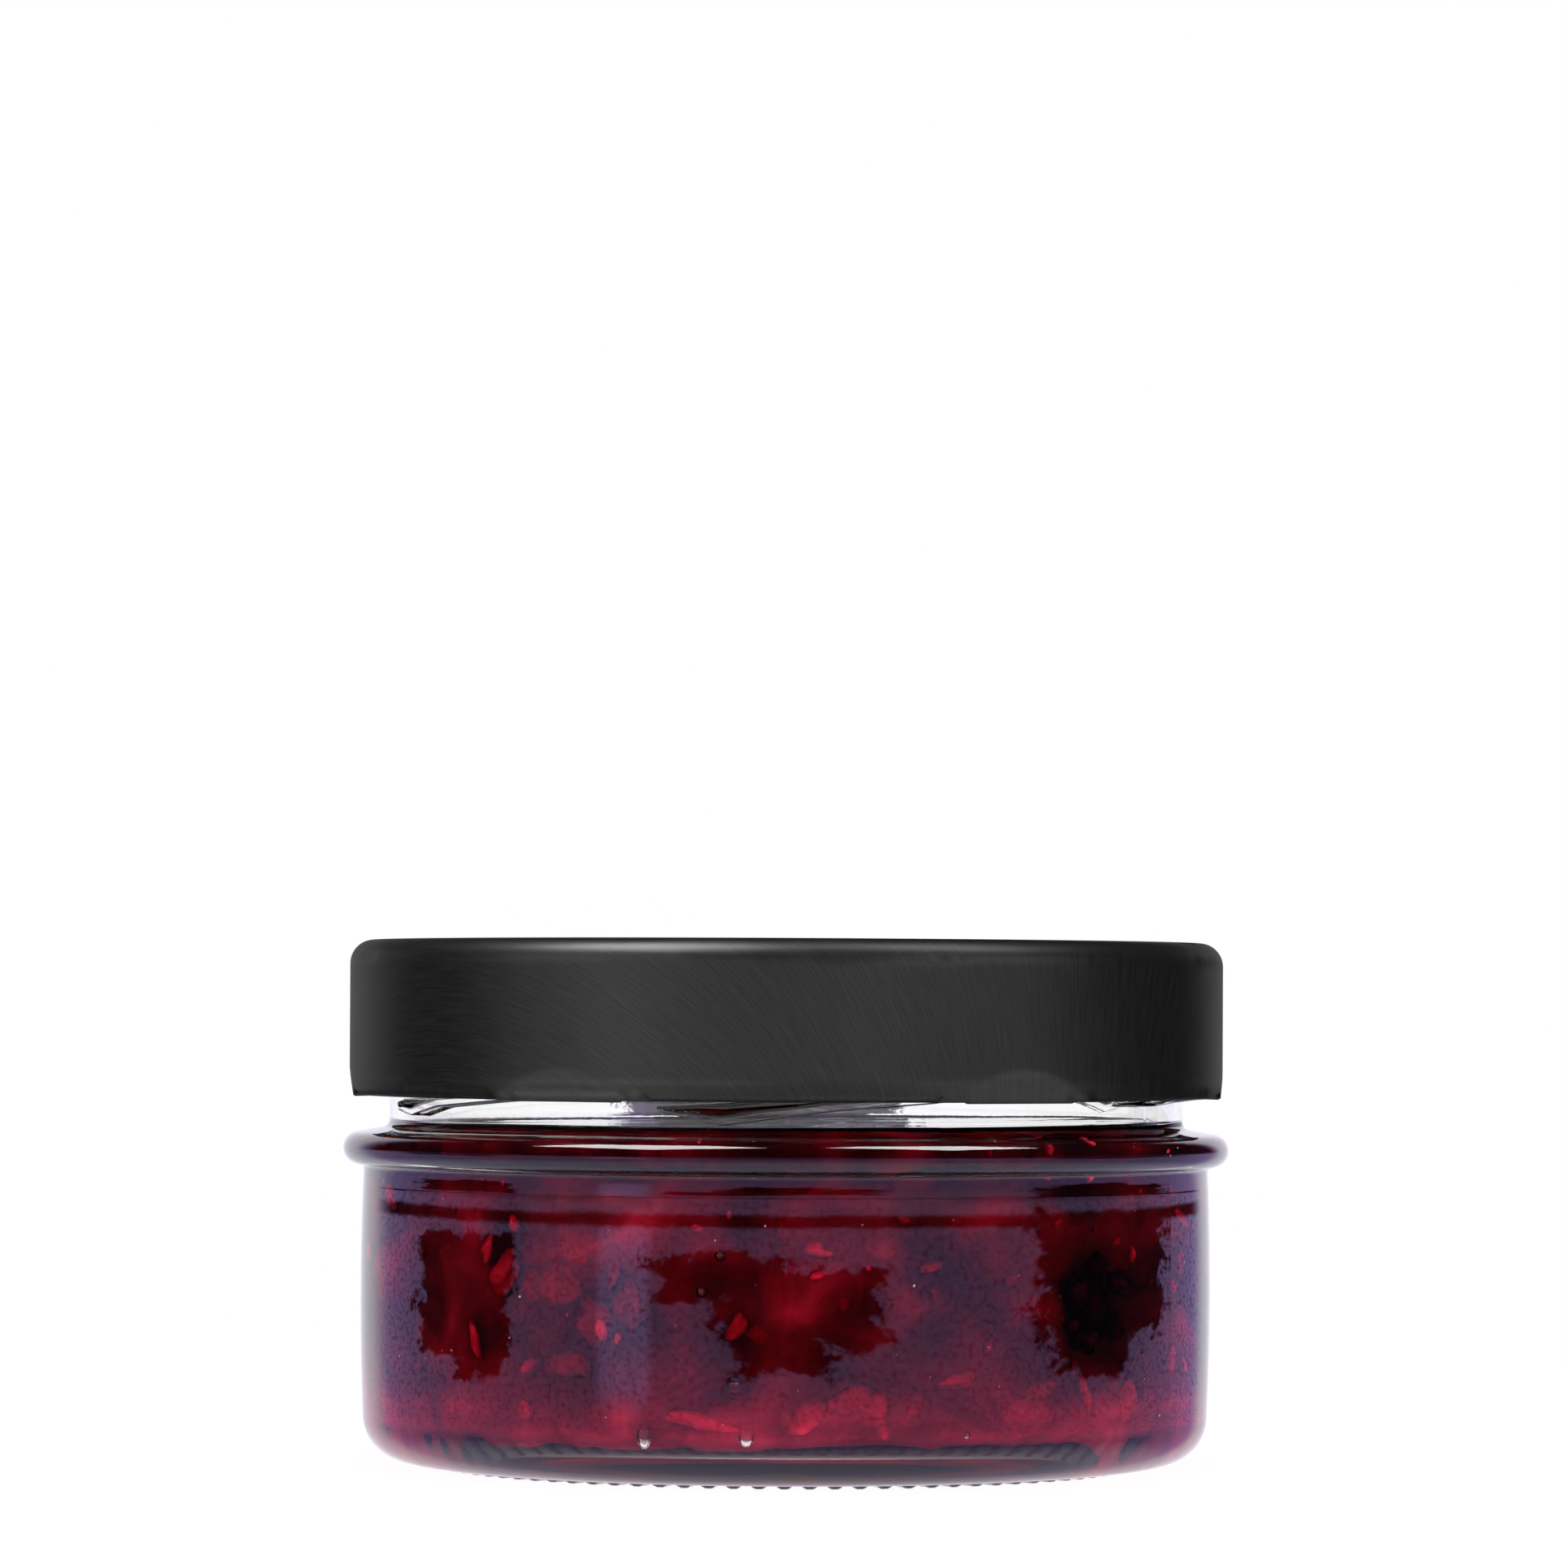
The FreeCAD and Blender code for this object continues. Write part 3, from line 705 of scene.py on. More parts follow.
# %% Large pieces
# angle, height, depth, (width, height, thickness), tilt
large = [
    (4.3, 22.3, 0.5, (2.6, 1.2, 1.0), 15), (11.3, 20.7, 0.4, (0.6, 0.5, 0.5), 0),
    (-45.3, 22.0, 0.6, (1.6, 2.4, 1.0), 25), (-30.1, 21.8, 0.9, (3.2, 1.8, 1.0), 25),
    (-37.3, 18.3, 1.6, (3.0, 3.2, 1.5), 0), (-24.0, 20.4, 1.4, (1.0, 3.4, 1.0), 15),
    (-47.7, 13.5, 0.6, (1.1, 3.0, 1.0), -18), (-6.8, 15.3, 0.9, (1.4, 2.6, 1.0), 30),
    (-3.0, 14.6, 1.8, (3.0, 2.0, 1.4), 0), (24.3, 10.2, 0.9, (3.4, 1.4, 1.0), -10),
    (45.8, 8.6, 0.8, (1.3, 3.6, 1.0), -25), (55.0, 7.6, 0.9, (3.0, 3.8, 1.4), 20),
    (50.5, 6.6, 1.4, (2.6, 1.6, 1.0), 0), (-38.3, 7.2, 0.9, (1.6, 1.8, 1.0), 0),
    (3.0, 7.0, 0.7, (3.6, 2.6, 1.4), -35), (8.5, 8.2, 1.0, (4.6, 2.8, 1.6), -20),
    (12.5, 7.6, 0.9, (3.4, 3.0, 1.4), 30), (17.5, 7.4, 1.3, (3.4, 3.2, 1.4), -15),
    (-12.1, 6.6, 0.7, (6.4, 1.5, 1.0), 8), (-19.0, 8.3, 1.6, (2.6, 1.8, 1.2), 0),
    (37.4, 9.0, 1.3, (5.0, 1.6, 1.2), -12), (33.0, 7.0, 1.6, (3.0, 1.2, 1.0), 10),
    (-72.3, 7.3, 0.6, (1.6, 2.6, 1.0), 10),
    (52.8, 22.6, 1.4, (1.2, 1.0, 0.8), 0), (55.9, 21.4, 0.8, (0.9, 1.4, 0.8), 0),
    (20.7, 20.8, 1.4, (2.4, 0.8, 0.8), -20), (-15.5, 12.2, 2.0, (2.8, 2.0, 1.2), 0),
    (-55.0, 21.5, 1.6, (2.4, 1.2, 1.0), 0), (29.0, 14.0, 2.2, (3.0, 2.6, 1.4), 0),
    (-33.0, 19.2, 1.3, (4.4, 3.6, 1.6), 20), (-27.5, 15.4, 1.4, (3.8, 4.4, 1.6), -15),
    (-22.0, 17.2, 1.5, (3.2, 4.4, 1.5), 10), (-31.5, 11.6, 1.5, (4.4, 2.8, 1.5), 0),
    (-42.2, 20.0, 0.9, (2.8, 4.2, 1.3), 25), (-1.0, 16.8, 1.2, (2.4, 1.6, 1.1), -30),
]
dice = random.Random(11)
for _ in range(80):
    azimuth = dice.uniform(64, 290)
    large.append((azimuth, dice.uniform(6, 29), dice.uniform(0.5, 2.2),
                  (dice.uniform(1, 4.5), dice.uniform(0.9, 3.2), dice.uniform(0.8, 1.5)),
                  dice.uniform(-40, 40)))
shape = bmesh.new()
for seed, (azimuth, height, depth, size, tilt) in enumerate(large):
    lump(shape, azimuth, height, depth + 0.15, size, tilt, seed, 0.55)
fruit_pieces = joined("fruit_pieces", shape, flesh)

# %% Whole dark berries
# A ripe berry's skin is nearly black and tight, so it shines more than the flesh.
skin = fruit_finish("dark_berry_skin", {"Scale": 500.0, "Detail": 3.0},
                    (0.0, "280812"), (1.0, "6E1226"),
                    {"Roughness": 0.35, "Specular IOR Level": 0.2})
shape = bmesh.new()
for seed, (azimuth, height, depth, width) in enumerate((
        (BERRY_TURN, BERRY_HEIGHT, 3.0, 7.0), (118.0, 12.0, 0.7, 6.2), (165.0, 21.5, 0.9, 6.8),
        (205.0, 9.5, 0.5, 6.0), (262.0, 17.0, 0.8, 6.4),
        (46.3, 17.9, 2.1, 2.8), (53.8, 14.4, 2.2, 3.0), (47.6, 13.5, 2.2, 2.6),
        (54.4, 18.8, 2.1, 2.4), (50.4, 20.4, 2.4, 2.6), (44.9, 15.1, 2.0, 1.5))):
    lump(shape, azimuth, height, depth, (width, width * 0.9, width * 0.9), 20, 40 + seed,
         0.5 if azimuth < 60 else 0.22)
berries = joined("whole_berries", shape, skin)

# %% [markdown]
# ## Small bits
# Crumbs of flesh are scattered through the jelly in numbers, which is a job for a node tree:
# points are strewn over a surface a little inside the glass, a crumb is put on each, and each
# gets its own turn, size and depth from a fixed seed. A crumb has only a few dozen faces.

# %% Scatter tree
def scatter_tree():
    tree, names, given = new_tree("scatter", "Surface", [
        ("seed", "Seed", "Int"), ("density", "Per square metre", "Float"),
        ("small", "Smallest", "Float"), ("big", "Largest", "Float"),
        ("sink", "Deepest", "Float"), ("long", "Drawn out", "Float")])
    strewn = add(tree, "GeometryNodeDistributePointsOnFaces",
                 {"Mesh": given["Surface"], "Density": given["Per square metre"],
                  "Seed": given["Seed"]})
    chance = [add(tree, "FunctionNodeRandomValue",
                  {"Seed": add(tree, "ADD", [given["Seed"], float(k)])},
                  data_type="FLOAT").outputs[1] for k in range(5)]
    depth = add(tree, "MULTIPLY", [chance[0], given["Deepest"], -1.0])
    inward = add(tree, "ShaderNodeVectorMath", {0: strewn.outputs["Normal"], "Scale": depth},
                 operation="SCALE")
    sunk = add(tree, "GeometryNodeSetPosition", {"Geometry": strewn, "Offset": inward})
    ball = add(tree, "GeometryNodeMeshIcoSphere", {"Radius": 0.5, "Subdivisions": 2})
    spot = add(tree, "GeometryNodeInputPosition")
    torn = add(tree, "ShaderNodeTexNoise", {"Vector": spot, "Scale": 2.2, "Detail": 1.0})
    away = add(tree, "ShaderNodeVectorMath",
               {0: spot, "Scale": add(tree, "SUBTRACT", [torn, 0.4])}, operation="SCALE")
    crumb = add(tree, "GeometryNodeSetPosition", {"Geometry": ball, "Offset": away})
    turn = add(tree, "ShaderNodeCombineXYZ",
               {k - 1: add(tree, "MULTIPLY", [chance[k], 6.283]) for k in (1, 2, 3)})
    span = add(tree, "SUBTRACT", [given["Largest"], given["Smallest"]])
    more = add(tree, "MULTIPLY", [add(tree, "POWER", [chance[4], 2.5]), span])
    size = add(tree, "ADD", [given["Smallest"], more])
    length = add(tree, "MULTIPLY", [size, given["Drawn out"]])
    scale = add(tree, "ShaderNodeCombineXYZ", {"X": length, "Y": size, "Z": size})
    crumbs = add(tree, "GeometryNodeInstanceOnPoints",
                 {"Points": sunk, "Instance": crumb, "Rotation": turn, "Scale": scale})
    close_tree(tree, crumbs, given["Material"])
    return tree, names


SCATTER, SCATTER_INPUTS = scatter_tree()

# %% Strewing
def strewn(name, radius, foot, top, material, values, slot="fruit_jam"):
    """Scatters crumbs on an open tube of a radius, between two heights in mm."""
    shape = bmesh.new()
    rings = [[shape.verts.new((radius * MM * math.sin(t), -radius * MM * math.cos(t), z * MM))
              for t in np.linspace(0, 2 * math.pi, 97)[:-1]] for z in (foot, top)]
    for i in range(96):
        shape.faces.new((rings[0][i], rings[0][(i + 1) % 96], rings[1][(i + 1) % 96], rings[1][i]))
    mesh = bpy.data.meshes.new(name)
    shape.to_mesh(mesh)
    shape.free()
    piece = placed(name, mesh)
    run_tree(piece, SCATTER, SCATTER_INPUTS, {**values, "material": material})
    freeze(piece)
    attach(piece, "root")
    return piece


fruit_bits = strewn("fruit_bits", 38.2, 5.5, 30.5, flesh, {
    "seed": 5, "density": 26000.0, "small": 0.25 * MM, "big": 1.5 * MM, "sink": 2.5 * MM,
    "long": 1.7})

# %% Pale specks
# Pale pink dots, under a quarter of a millimetre across, strewn just behind the glass.
speck = fruit_finish("pale_speck_finish", {"Scale": 3000.0, "Detail": 2.0},
                     (0.0, "E8B0BC"), (1.0, "FFF4F4"), {"Roughness": 0.5})
pale_specks = strewn("pale_specks", 38.75, 5.5, 31.0, speck, {
    "seed": 8, "density": 16000.0, "small": 0.07 * MM, "big": 0.22 * MM, "sink": 0.5 * MM,
    "long": 1.3})

# %% [markdown]
# ## Bubbles
# Air that was stirred in hangs as round bubbles against the glass. A bubble is a hole in the
# jelly: light that comes from the denser jelly bends the other way, which gives it a bright
# rim. Its material therefore bends light by one over the jelly's index.

# %% Bubbles
air, tree, place = new_material("trapped_air")
add(tree, "ShaderNodeOutputMaterial", {"Surface": add(
    tree, "ShaderNodeBsdfGlass",
    {"Color": linear("FFFFFF"), "Roughness": 0.0, "IOR": 1 / JELLY_INDEX})})
shape = bmesh.new()
bubbles = [(-8.8, 21.8, 0.2, 1.1, 1.0), (-11.3, 18.5, 0.2, 1.2, 1.0), (-6.8, 10.0, 0.3, 1.7, 1.0),
           (-19.8, 5.3, 1.35, 1.7, 1.4), (-5.3, 5.4, 1.35, 1.8, 1.2), (26.0, 5.2, 1.6, 0.7, 1.0)]
dice = random.Random(23)
for _ in range(26):
    width = 0.4 + 1.2 * dice.random() ** 3
    bubbles.append((dice.uniform(62, 300), dice.uniform(8, 30), 0.25, width, 1.0))
for seed, (azimuth, height, depth, width, tall) in enumerate(bubbles):
    lump(shape, azimuth, height, depth, (width, width * tall, width), 0, seed, 0.0)
air_bubbles = joined("air_bubbles", shape, air)

# %% [markdown]
# ## Lid
# The lid is tinplate, stamped from a sheet that was brushed in one direction and then coated
# with a satin black lacquer. The brushing was straight on the flat sheet. Drawing the cup
# folded the sheet's rim down into the skirt, so a brush line that ran outwards on the sheet
# now runs down the skirt, and one that ran round the sheet now runs round the skirt. The
# material undoes that: it works out where each point lay on the flat blank, as far from the
# middle as its radius plus its drop, and draws the brushing there, in fine lines a fifth of a
# millimetre apart and some thirty times as long.

# %% Lacquer
def from_axis(tree, spot):
    """How far a point is from the jar's axis."""
    return add(tree, "SQRT", [add(tree, "ADD", [add(tree, "MULTIPLY", [spot["X"], spot["X"]]),
                                                add(tree, "MULTIPLY", [spot["Y"], spot["Y"]])])])


lacquer, tree, place = new_material("satin_black_lacquer_on_brushed_tinplate")
spot = add(tree, "ShaderNodeSeparateXYZ", {0: place}).outputs
reach = from_axis(tree, spot)
drop = add(tree, "MAXIMUM", [add(tree, "SUBTRACT", [size_mm[2] * MM, spot["Z"]]), 0.0])
grow = add(tree, "DIVIDE", [add(tree, "ADD", [reach, drop]),
                            add(tree, "MAXIMUM", [reach, 0.1 * MM])])
blank = add(tree, "ShaderNodeCombineXYZ", {"X": add(tree, "MULTIPLY", [spot["X"], grow]),
                                           "Y": add(tree, "MULTIPLY", [spot["Y"], grow])})
brushed = add(tree, "ShaderNodeMapping",
              {"Vector": blank, "Rotation": (0, 0, math.radians(-50)),
               "Scale": (1 / 190, 1 / 5200, 1.0)}, vector_type="TEXTURE")
lines = add(tree, "ShaderNodeTexNoise",
            {"Vector": brushed, "Scale": 1.0, "Detail": 3.0, "Roughness": 0.65})
dull = add(tree, "ShaderNodeTexNoise", {"Vector": place, "Scale": 120.0, "Detail": 3.0})
tone = add(tree, "ShaderNodeValToRGB", {"Fac": lines})
for stop, position, colour in zip(tone.color_ramp.elements, (0.42, 0.70), ("191919", "2C2C2C")):
    stop.position, stop.color = position, linear(colour)
satin = add(tree, "ShaderNodeMapRange", {"Value": dull, "To Min": 0.33, "To Max": 0.41})
# The tinplate is pressed, not cut, so the crease round each lug is soft.
crease = add(tree, "ShaderNodeBevel", {"Radius": 1.1 * MM}, samples=6)
grain = add(tree, "ShaderNodeBump",
            {"Strength": 1.0, "Distance": 0.008 * MM, "Height": lines, "Normal": crease})
shader = add(tree, "ShaderNodeBsdfPrincipled",
             {"Base Color": tone, "Roughness": satin, "IOR": 1.5, "Normal": grain})
add(tree, "ShaderNodeOutputMaterial", {"Surface": shader})
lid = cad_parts["lid"]
lid.data.materials.clear()
lid.data.materials.append(lacquer)
print("lid finish has", len(tree.nodes), "nodes")

# %% Sealing compound
# Compound is flowed in as a liquid and foams in the oven, so it is matt with fine pores.
compound, tree, place = new_material("foamed_sealing_compound")
foam = add(tree, "ShaderNodeTexNoise", {"Vector": place, "Scale": 1500.0, "Detail": 2.0})
pores = add(tree, "ShaderNodeBump", {"Strength": 0.4, "Distance": 0.02 * MM, "Height": foam})
shader = add(tree, "ShaderNodeBsdfPrincipled",
             {"Base Color": linear("D8D4CC"), "Roughness": 0.55, "Normal": pores})
add(tree, "ShaderNodeOutputMaterial", {"Surface": shader})
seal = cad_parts["sealing_ring"]
seal.data.materials.clear()
seal.data.materials.append(compound)
print("the seal is dressed in", compound.name)

# %% [markdown]
# ## Studio
# Glass shows the room more than itself. The jar stands on a small white table in front of a
# white wall, with a large soft lamp at each side and small bright ones overhead. The wall is
# white only for rays that look at it, so it adds little light of its own. The table glows a
# little less under the jar, where a real one would be shaded, and mirrors don't see it.

# %% White surroundings
def seen_rays(tree):
    """1 where a camera, mirrored or refracted ray looks, 0 for all other light."""
    rays = add(tree, "ShaderNodeLightPath").outputs
    return add(tree, "MAXIMUM", [rays["Is Camera Ray"], rays["Is Glossy Ray"],
                                 rays["Is Transmission Ray"]])


world = bpy.data.worlds.new("white_wall")
bpy.context.scene.world = world
world.use_nodes = True
tree = world.node_tree
tree.nodes.clear()
amount = add(tree, "ShaderNodeMapRange", {"Value": seen_rays(tree), "To Min": 0.35, "To Max": 1.0})
sky = add(tree, "ShaderNodeBackground", {"Color": linear("FFFFFF"), "Strength": amount})
add(tree, "ShaderNodeOutputWorld", {"Surface": sky})
print("the wall glows by 1 where it is seen and by 0.35 elsewhere")

# %% Table
def stage_piece(name, shape, material):
    mesh = bpy.data.meshes.new(name)
    shape.to_mesh(mesh)
    shape.free()
    mesh.materials.append(material)
    piece = placed(name, mesh)
    return piece


def hide(piece, *rays):
    for ray in rays:
        setattr(piece, "visible_" + ray, False)


white, tree, place = new_material("white_table")
spot = add(tree, "ShaderNodeSeparateXYZ", {0: place}).outputs
# Painted shadow: for mirrored and refracted rays the table glows a fifth less under the jar.
open_table = add(tree, "ShaderNodeMapRange",
                 {"Value": from_axis(tree, spot), "From Min": 30 * MM, "From Max": 43 * MM,
                  "To Min": 0.8, "To Max": 1.0}, interpolation_type="SMOOTHSTEP")
camera_ray = add(tree, "ShaderNodeLightPath").outputs["Is Camera Ray"]
amount = add(tree, "MULTIPLY", [add(tree, "MAXIMUM", [open_table, camera_ray]),
                                add(tree, "MULTIPLY", [seen_rays(tree), 0.93])])
glow = add(tree, "ShaderNodeEmission", {"Color": linear("FFFFFF"), "Strength": amount})
paper = add(tree, "ShaderNodeBsdfDiffuse", {"Color": linear("909090")})
add(tree, "ShaderNodeOutputMaterial", {"Surface": add(tree, "ShaderNodeAddShader", [glow, paper])})
shape = bmesh.new()
bmesh.ops.create_circle(shape, cap_ends=True, segments=128, radius=0.200)
table = stage_piece("table", shape, white)
hide(table, "glossy", "shadow")
print("the table is", table.dimensions.x, "m across")

# %% [markdown]
# ## Painted reflection shell
# What the jar's front mirrors is a glowing shell round the studio, which is no lamp: a painted
# reflection. It paints a pale veil over the jam, with ragged gaps through which the jam is deep
# and clear, a bright upright band, bright sides and a bright low part. The shell is a dome of
# large radius, and only the glass mirrors it. Its gaps are written as angles round the jar and
# heights on the jar's wall.

# %% Torn edges
FAR = 1000.0                    # more than any angle or height below


def patch(value, low, high, soft):
    """1 between two values, with soft edges."""
    rise, fall = (add(tree, "ShaderNodeMapRange",
                      {"Value": value, "From Min": edge - soft, "From Max": edge + soft},
                      interpolation_type="SMOOTHSTEP") for edge in (low, high))
    return add(tree, "MULTIPLY", [rise, add(tree, "SUBTRACT", [1.0, fall])])


def torn(value, noise, width):
    """Pushes a value to and fro by noise, over a width."""
    push = add(tree, "SUBTRACT", [noise, 0.5])
    return add(tree, "ADD", [value, add(tree, "MULTIPLY", [push, width])])


# %% Painted reflection finish
reflection_paint, tree, place = new_material("painted_reflection_shell")
# Painted reflection: an emission that only the glass sees, laid out by where it lands on the jar's
# wall.
spot = add(tree, "ShaderNodeSeparateXYZ", {0: place}).outputs
azimuth = add(tree, "ARCTAN2", [spot["X"], add(tree, "MULTIPLY", [spot["Y"], -1.0])])
azimuth = add(tree, "MULTIPLY", [azimuth, 180 / math.pi])
# The height on the jar's wall, in mm, at which the camera sees this height on the shell. The
# wall is a shallow barrel, which spreads the shell's height out by more in front than beside.
facing = add(tree, "COSINE", [add(tree, "MULTIPLY", [azimuth, math.pi / 360])])
over = add(tree, "ADD", [add(tree, "DIVIDE", [spot["Z"], MM]), 118.7,
                         add(tree, "MULTIPLY", [facing, 195.2])])
under = add(tree, "ADD", [3.614, add(tree, "MULTIPLY", [facing, 11.62])])
on_wall = add(tree, "DIVIDE", [over, under])
noises = []
for degrees, rise, detail, rough in ((9.0, 2.5, 6.0, 0.7), (1.4, 0.45, 2.0, 0.6)):
    flat = add(tree, "ShaderNodeCombineXYZ", {"X": add(tree, "DIVIDE", [azimuth, degrees]),
                                              "Y": add(tree, "DIVIDE", [on_wall, rise])})
    noises.append(add(tree, "ShaderNodeTexNoise",
                      {"Vector": flat, "Scale": 1.0, "Detail": detail, "Roughness": rough}))
rips = add(tree, "ShaderNodeSeparateXYZ", {0: noises[0].outputs["Color"]}).outputs
across = torn(azimuth, rips["X"], 34.0)
upward = torn(on_wall, rips["Y"], 7.0)
waves = torn(on_wall, rips["Z"], 0.5)
# Sides of each gap in degrees, and its ends in mm up the wall.
gaps = [add(tree, "MULTIPLY", [patch(across, *sides, 1.5), patch(upward, *ends, 0.4)])
        for sides, ends in (((-115, -76), (11.6, 23.0)), ((-98, -80), (9.6, 13.0)),
                            ((-34, -4), (16.8, 21.6)), ((-18, 26), (13.2, 20.6)),
                            ((-14, 12), (10.6, 14.2)), ((70, 121), (13.8, 25.5)),
                            ((76, 106), (10.2, 15.0)))]
beside = patch(add(tree, "ABSOLUTE", [across]), 50, FAR, 10)
gaps += [patch(waves, 24.2, 25.4, 0.25), patch(on_wall, 31.0, FAR, 0.5),
         add(tree, "MULTIPLY", [patch(waves, 26.6, 28.4, 0.4), beside])]
# Painted highlight: a bright upright band on the left of the wall.
strip = add(tree, "MULTIPLY", [patch(azimuth, -50, -36, 2.0), patch(on_wall, 8.0, 24.5, 2.0)])
pitted = add(tree, "ShaderNodeMapRange", {"Value": noises[1], "From Min": 0.36,
                                          "From Max": 0.52, "To Min": 0.5, "To Max": 1.1})
veil = add(tree, "ADD", [0.95, add(tree, "MULTIPLY", [strip, 1.1])])
closed = add(tree, "SUBTRACT", [1.0, add(tree, "MAXIMUM", gaps)])
veil = add(tree, "MULTIPLY", [veil, add(tree, "MULTIPLY", [pitted, closed])])
# Painted reflection: the shell glows pale and bright at both sides, for the jar's limbs, and all
# over its low part.
limb = add(tree, "MAXIMUM", [patch(azimuth, 147.5, FAR, 6.5), patch(azimuth, -FAR, -139.0, 9.0)])
below = patch(spot["Z"], -FAR, -0.70, 0.25)
light = add(tree, "ADD", [0.02, veil])
light = add(tree, "ShaderNodeMix", {0: limb, 2: light, 3: 1.15}, data_type="FLOAT")
light = add(tree, "ShaderNodeMix", {0: below, 2: light, 3: 1.3}, data_type="FLOAT")
pale = add(tree, "MAXIMUM", [limb, add(tree, "MULTIPLY", [below, 0.6])])
hue = add(tree, "ShaderNodeMix", {0: pale, 6: linear("CBB5FF"), 7: linear("F4F2FF")},
          data_type="RGBA").outputs[2]
glow = add(tree, "ShaderNodeEmission", {"Color": hue, "Strength": light})
add(tree, "ShaderNodeOutputMaterial", {"Surface": glow})
print("the cards' finish has", len(tree.nodes), "nodes")

# %% Painted reflection shell
SHELL = 1.7                     # radius, in metres
turns = np.radians(np.linspace(-180, 180, 91))
rises = np.radians(np.linspace(-89, 89, 45))
shape = bmesh.new()
grid = [[shape.verts.new((SHELL * math.sin(turn) * math.cos(rise),
                          -SHELL * math.cos(turn) * math.cos(rise), SHELL * math.sin(rise)))
         for rise in rises] for turn in turns]
for left, right in zip(grid, grid[1:]):
    for j in range(len(rises) - 1):
        shape.faces.new((left[j], right[j], right[j + 1], left[j + 1]))
studio = stage_piece("studio", shape, reflection_paint)
hide(studio, "camera", "diffuse", "transmission", "volume_scatter", "shadow")
print("the shell has", len(studio.data.polygons), "faces")

# %% Painted dark backdrop behind the neck
# A dim glowing dark card that only refracted rays see: painted shade in the view through the empty
# neck, which makes the threads' edges stand out white.
flag, tree, place = new_material("painted_dark_backdrop")
spot = add(tree, "ShaderNodeSeparateXYZ", {0: place}).outputs
fray = add(tree, "ShaderNodeTexNoise",
           {"Vector": place, "Scale": 420.0, "Detail": 4.0, "Roughness": 0.7})
edge = torn(add(tree, "DIVIDE", [spot["X"], MM]), fray, 16.0)
painted_dark_glow = add(tree, "ShaderNodeEmission", {"Color": linear("242126"), "Strength": 1.0})
cut = add(tree, "ShaderNodeMixShader",
          [patch(edge, -21.0, 15.0, 1.0), add(tree, "ShaderNodeBsdfTransparent"), painted_dark_glow])
add(tree, "ShaderNodeOutputMaterial", {"Surface": cut})
shape = bmesh.new()
shape.faces.new([shape.verts.new((x * MM, 0.09, z * MM))
                 for x, z in ((-34, 20), (28, 20), (28, 140), (-34, 140))])
backdrop_card = stage_piece("painted_dark_backdrop", shape, flag)
hide(backdrop_card, "camera", "diffuse", "glossy", "volume_scatter", "shadow")
print("the flag stands", backdrop_card.data.vertices[0].co.y, "m behind the axis")

# %% [markdown]
# ## Lamps
# The lid is satin black and the jam is dark behind glass, so one setting of the lamps can't
# suit both: a studio would shade one from the other with black flags. Light linking does
# that here.
# Each group of lamps lights only the pieces named for it.

# %% Lamps
def lamp(name, azimuth, rise, distance, width, height, brightness):
    """A soft lamp that faces the jar, at degrees round it and up from the table, and metres
    away and across; brightness is what a mirror would show of it."""
    light = bpy.data.lights.new(name, "AREA")
    light.shape = "RECTANGLE"
    light.size, light.size_y = width, height
    light.energy = brightness * math.pi * width * height
    piece = placed(name, light)
    a, e = math.radians(azimuth), math.radians(rise)
    aim = Vector((math.sin(a) * math.cos(e), -math.cos(a) * math.cos(e), math.sin(e)))
    piece.location = Vector((0, 0, 0.025)) + aim * distance
    piece.rotation_mode = "QUATERNION"
    piece.rotation_quaternion = aim.to_track_quat("Z", "Y")
    return piece


def only_light(lamps, name, pieces):
    """Lets lamps light a few pieces only."""
    lit = bpy.data.collections.new(name)
    for piece in pieces:
        lit.objects.link(piece)
    for piece in lamps:
        piece.light_linking.receiver_collection = lit


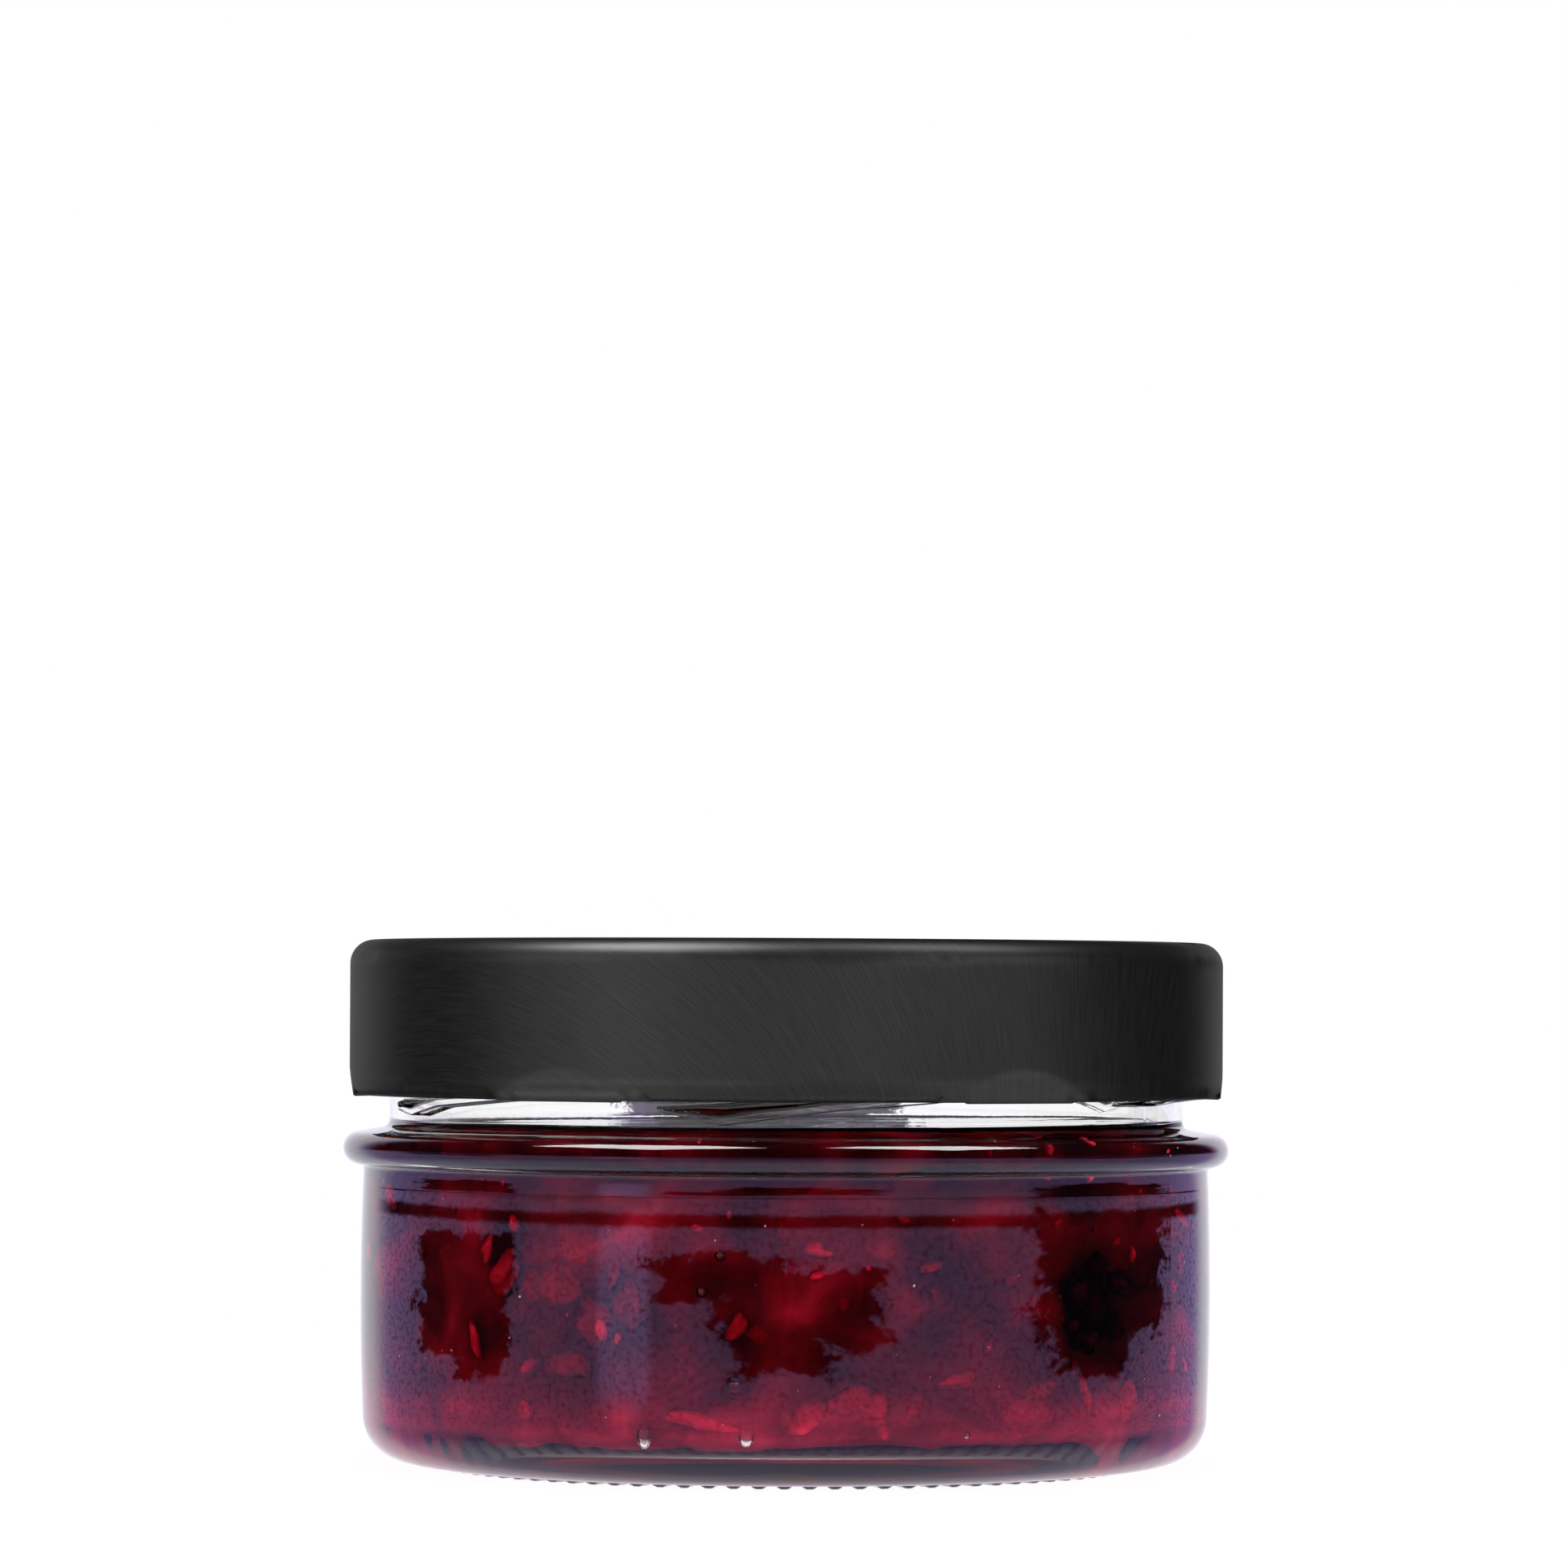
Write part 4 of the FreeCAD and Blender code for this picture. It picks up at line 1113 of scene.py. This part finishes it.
LEFT, RIGHT = (-56, 19, 0.9, 0.72, 0.46), (46, 19, 0.9, 0.92, 0.46)
TOP_RIGHT = (75, 66, 0.8, 0.36, 0.40)
softboxes = [lamp("left_softbox", *LEFT, 6.5), lamp("right_softbox", *RIGHT, 6.5)]
overheads = [lamp("left_overhead", -68, 66, 0.8, 0.46, 0.40, 12.0),
             lamp("right_overhead", *TOP_RIGHT, 12.0)]
lid_boxes = [lamp("left_lid_softbox", *LEFT, 1.3), lamp("right_lid_softbox", *RIGHT, 1.3),
             lamp("lid_front", -12, 0, 0.9, 1.5, 0.5, 0.75)]
lid_shine = [lamp("left_lid_bounce", -60, -26, 0.9, 0.7, 0.45, 1.4),
             lamp("right_lid_bounce", 62, -26, 0.9, 0.7, 0.45, 1.4),
             lamp("lid_under", 0, -75, 0.6, 1.2, 0.8, 1.0),
             lamp("right_lid_overhead", *TOP_RIGHT, 4.5),
             lamp("left_lid_rim", -150, 4, 1.0, 0.93, 0.6, 0.30),
             lamp("right_lid_rim", 160, 4, 1.0, 0.75, 0.6, 0.30)]
for lamps, rays in ((softboxes, ("camera", "glossy")), (lid_boxes, ("camera", "transmission")),
                    (overheads + lid_shine, ("camera", "diffuse", "transmission"))):
    for piece in lamps:
        hide(piece, *rays)
inner = [jam_jelly, jam_pulp, fruit_pieces, berries, fruit_bits, pale_specks, air_bubbles]
only_light(softboxes, "jar_and_jam", [jar] + inner)
only_light(lid_boxes + lid_shine, "lid_and_seal", [lid, seal])
only_light(overheads[:1], "jar_and_lid", [jar, lid])
only_light(overheads[1:], "jar_alone", [jar])
only_light([studio], "glass", [jar])
print(len(softboxes + overheads + lid_boxes + lid_shine), "lamps are hung")

# %% Camera
# A long lens, level with the lid, from 635 mm in front. The sensor is shifted down to keep
# the jar low in the frame, and the camera leans a quarter of a degree.
camera = placed("camera", bpy.data.cameras.new("camera"))
camera.data.sensor_width = 36.0
camera.data.lens = 148.7
camera.data.shift_x = -0.0016
camera.data.shift_y = 0.1377
camera.data.clip_start = 0.01
camera.location = (0.0, -635 * MM, 45.4 * MM)
camera.rotation_mode = "QUATERNION"
level = Matrix.Rotation(math.radians(90), 4, "X")
camera.rotation_quaternion = (level @ Matrix.Rotation(math.radians(0.27), 4, "Z")).to_quaternion()
bpy.context.scene.camera = camera
bpy.context.scene.view_settings.view_transform = "Standard"
print("the camera sees", round(math.degrees(camera.data.angle), 1), "degrees across")

# %% Update the scene
bpy.context.view_layer.update()
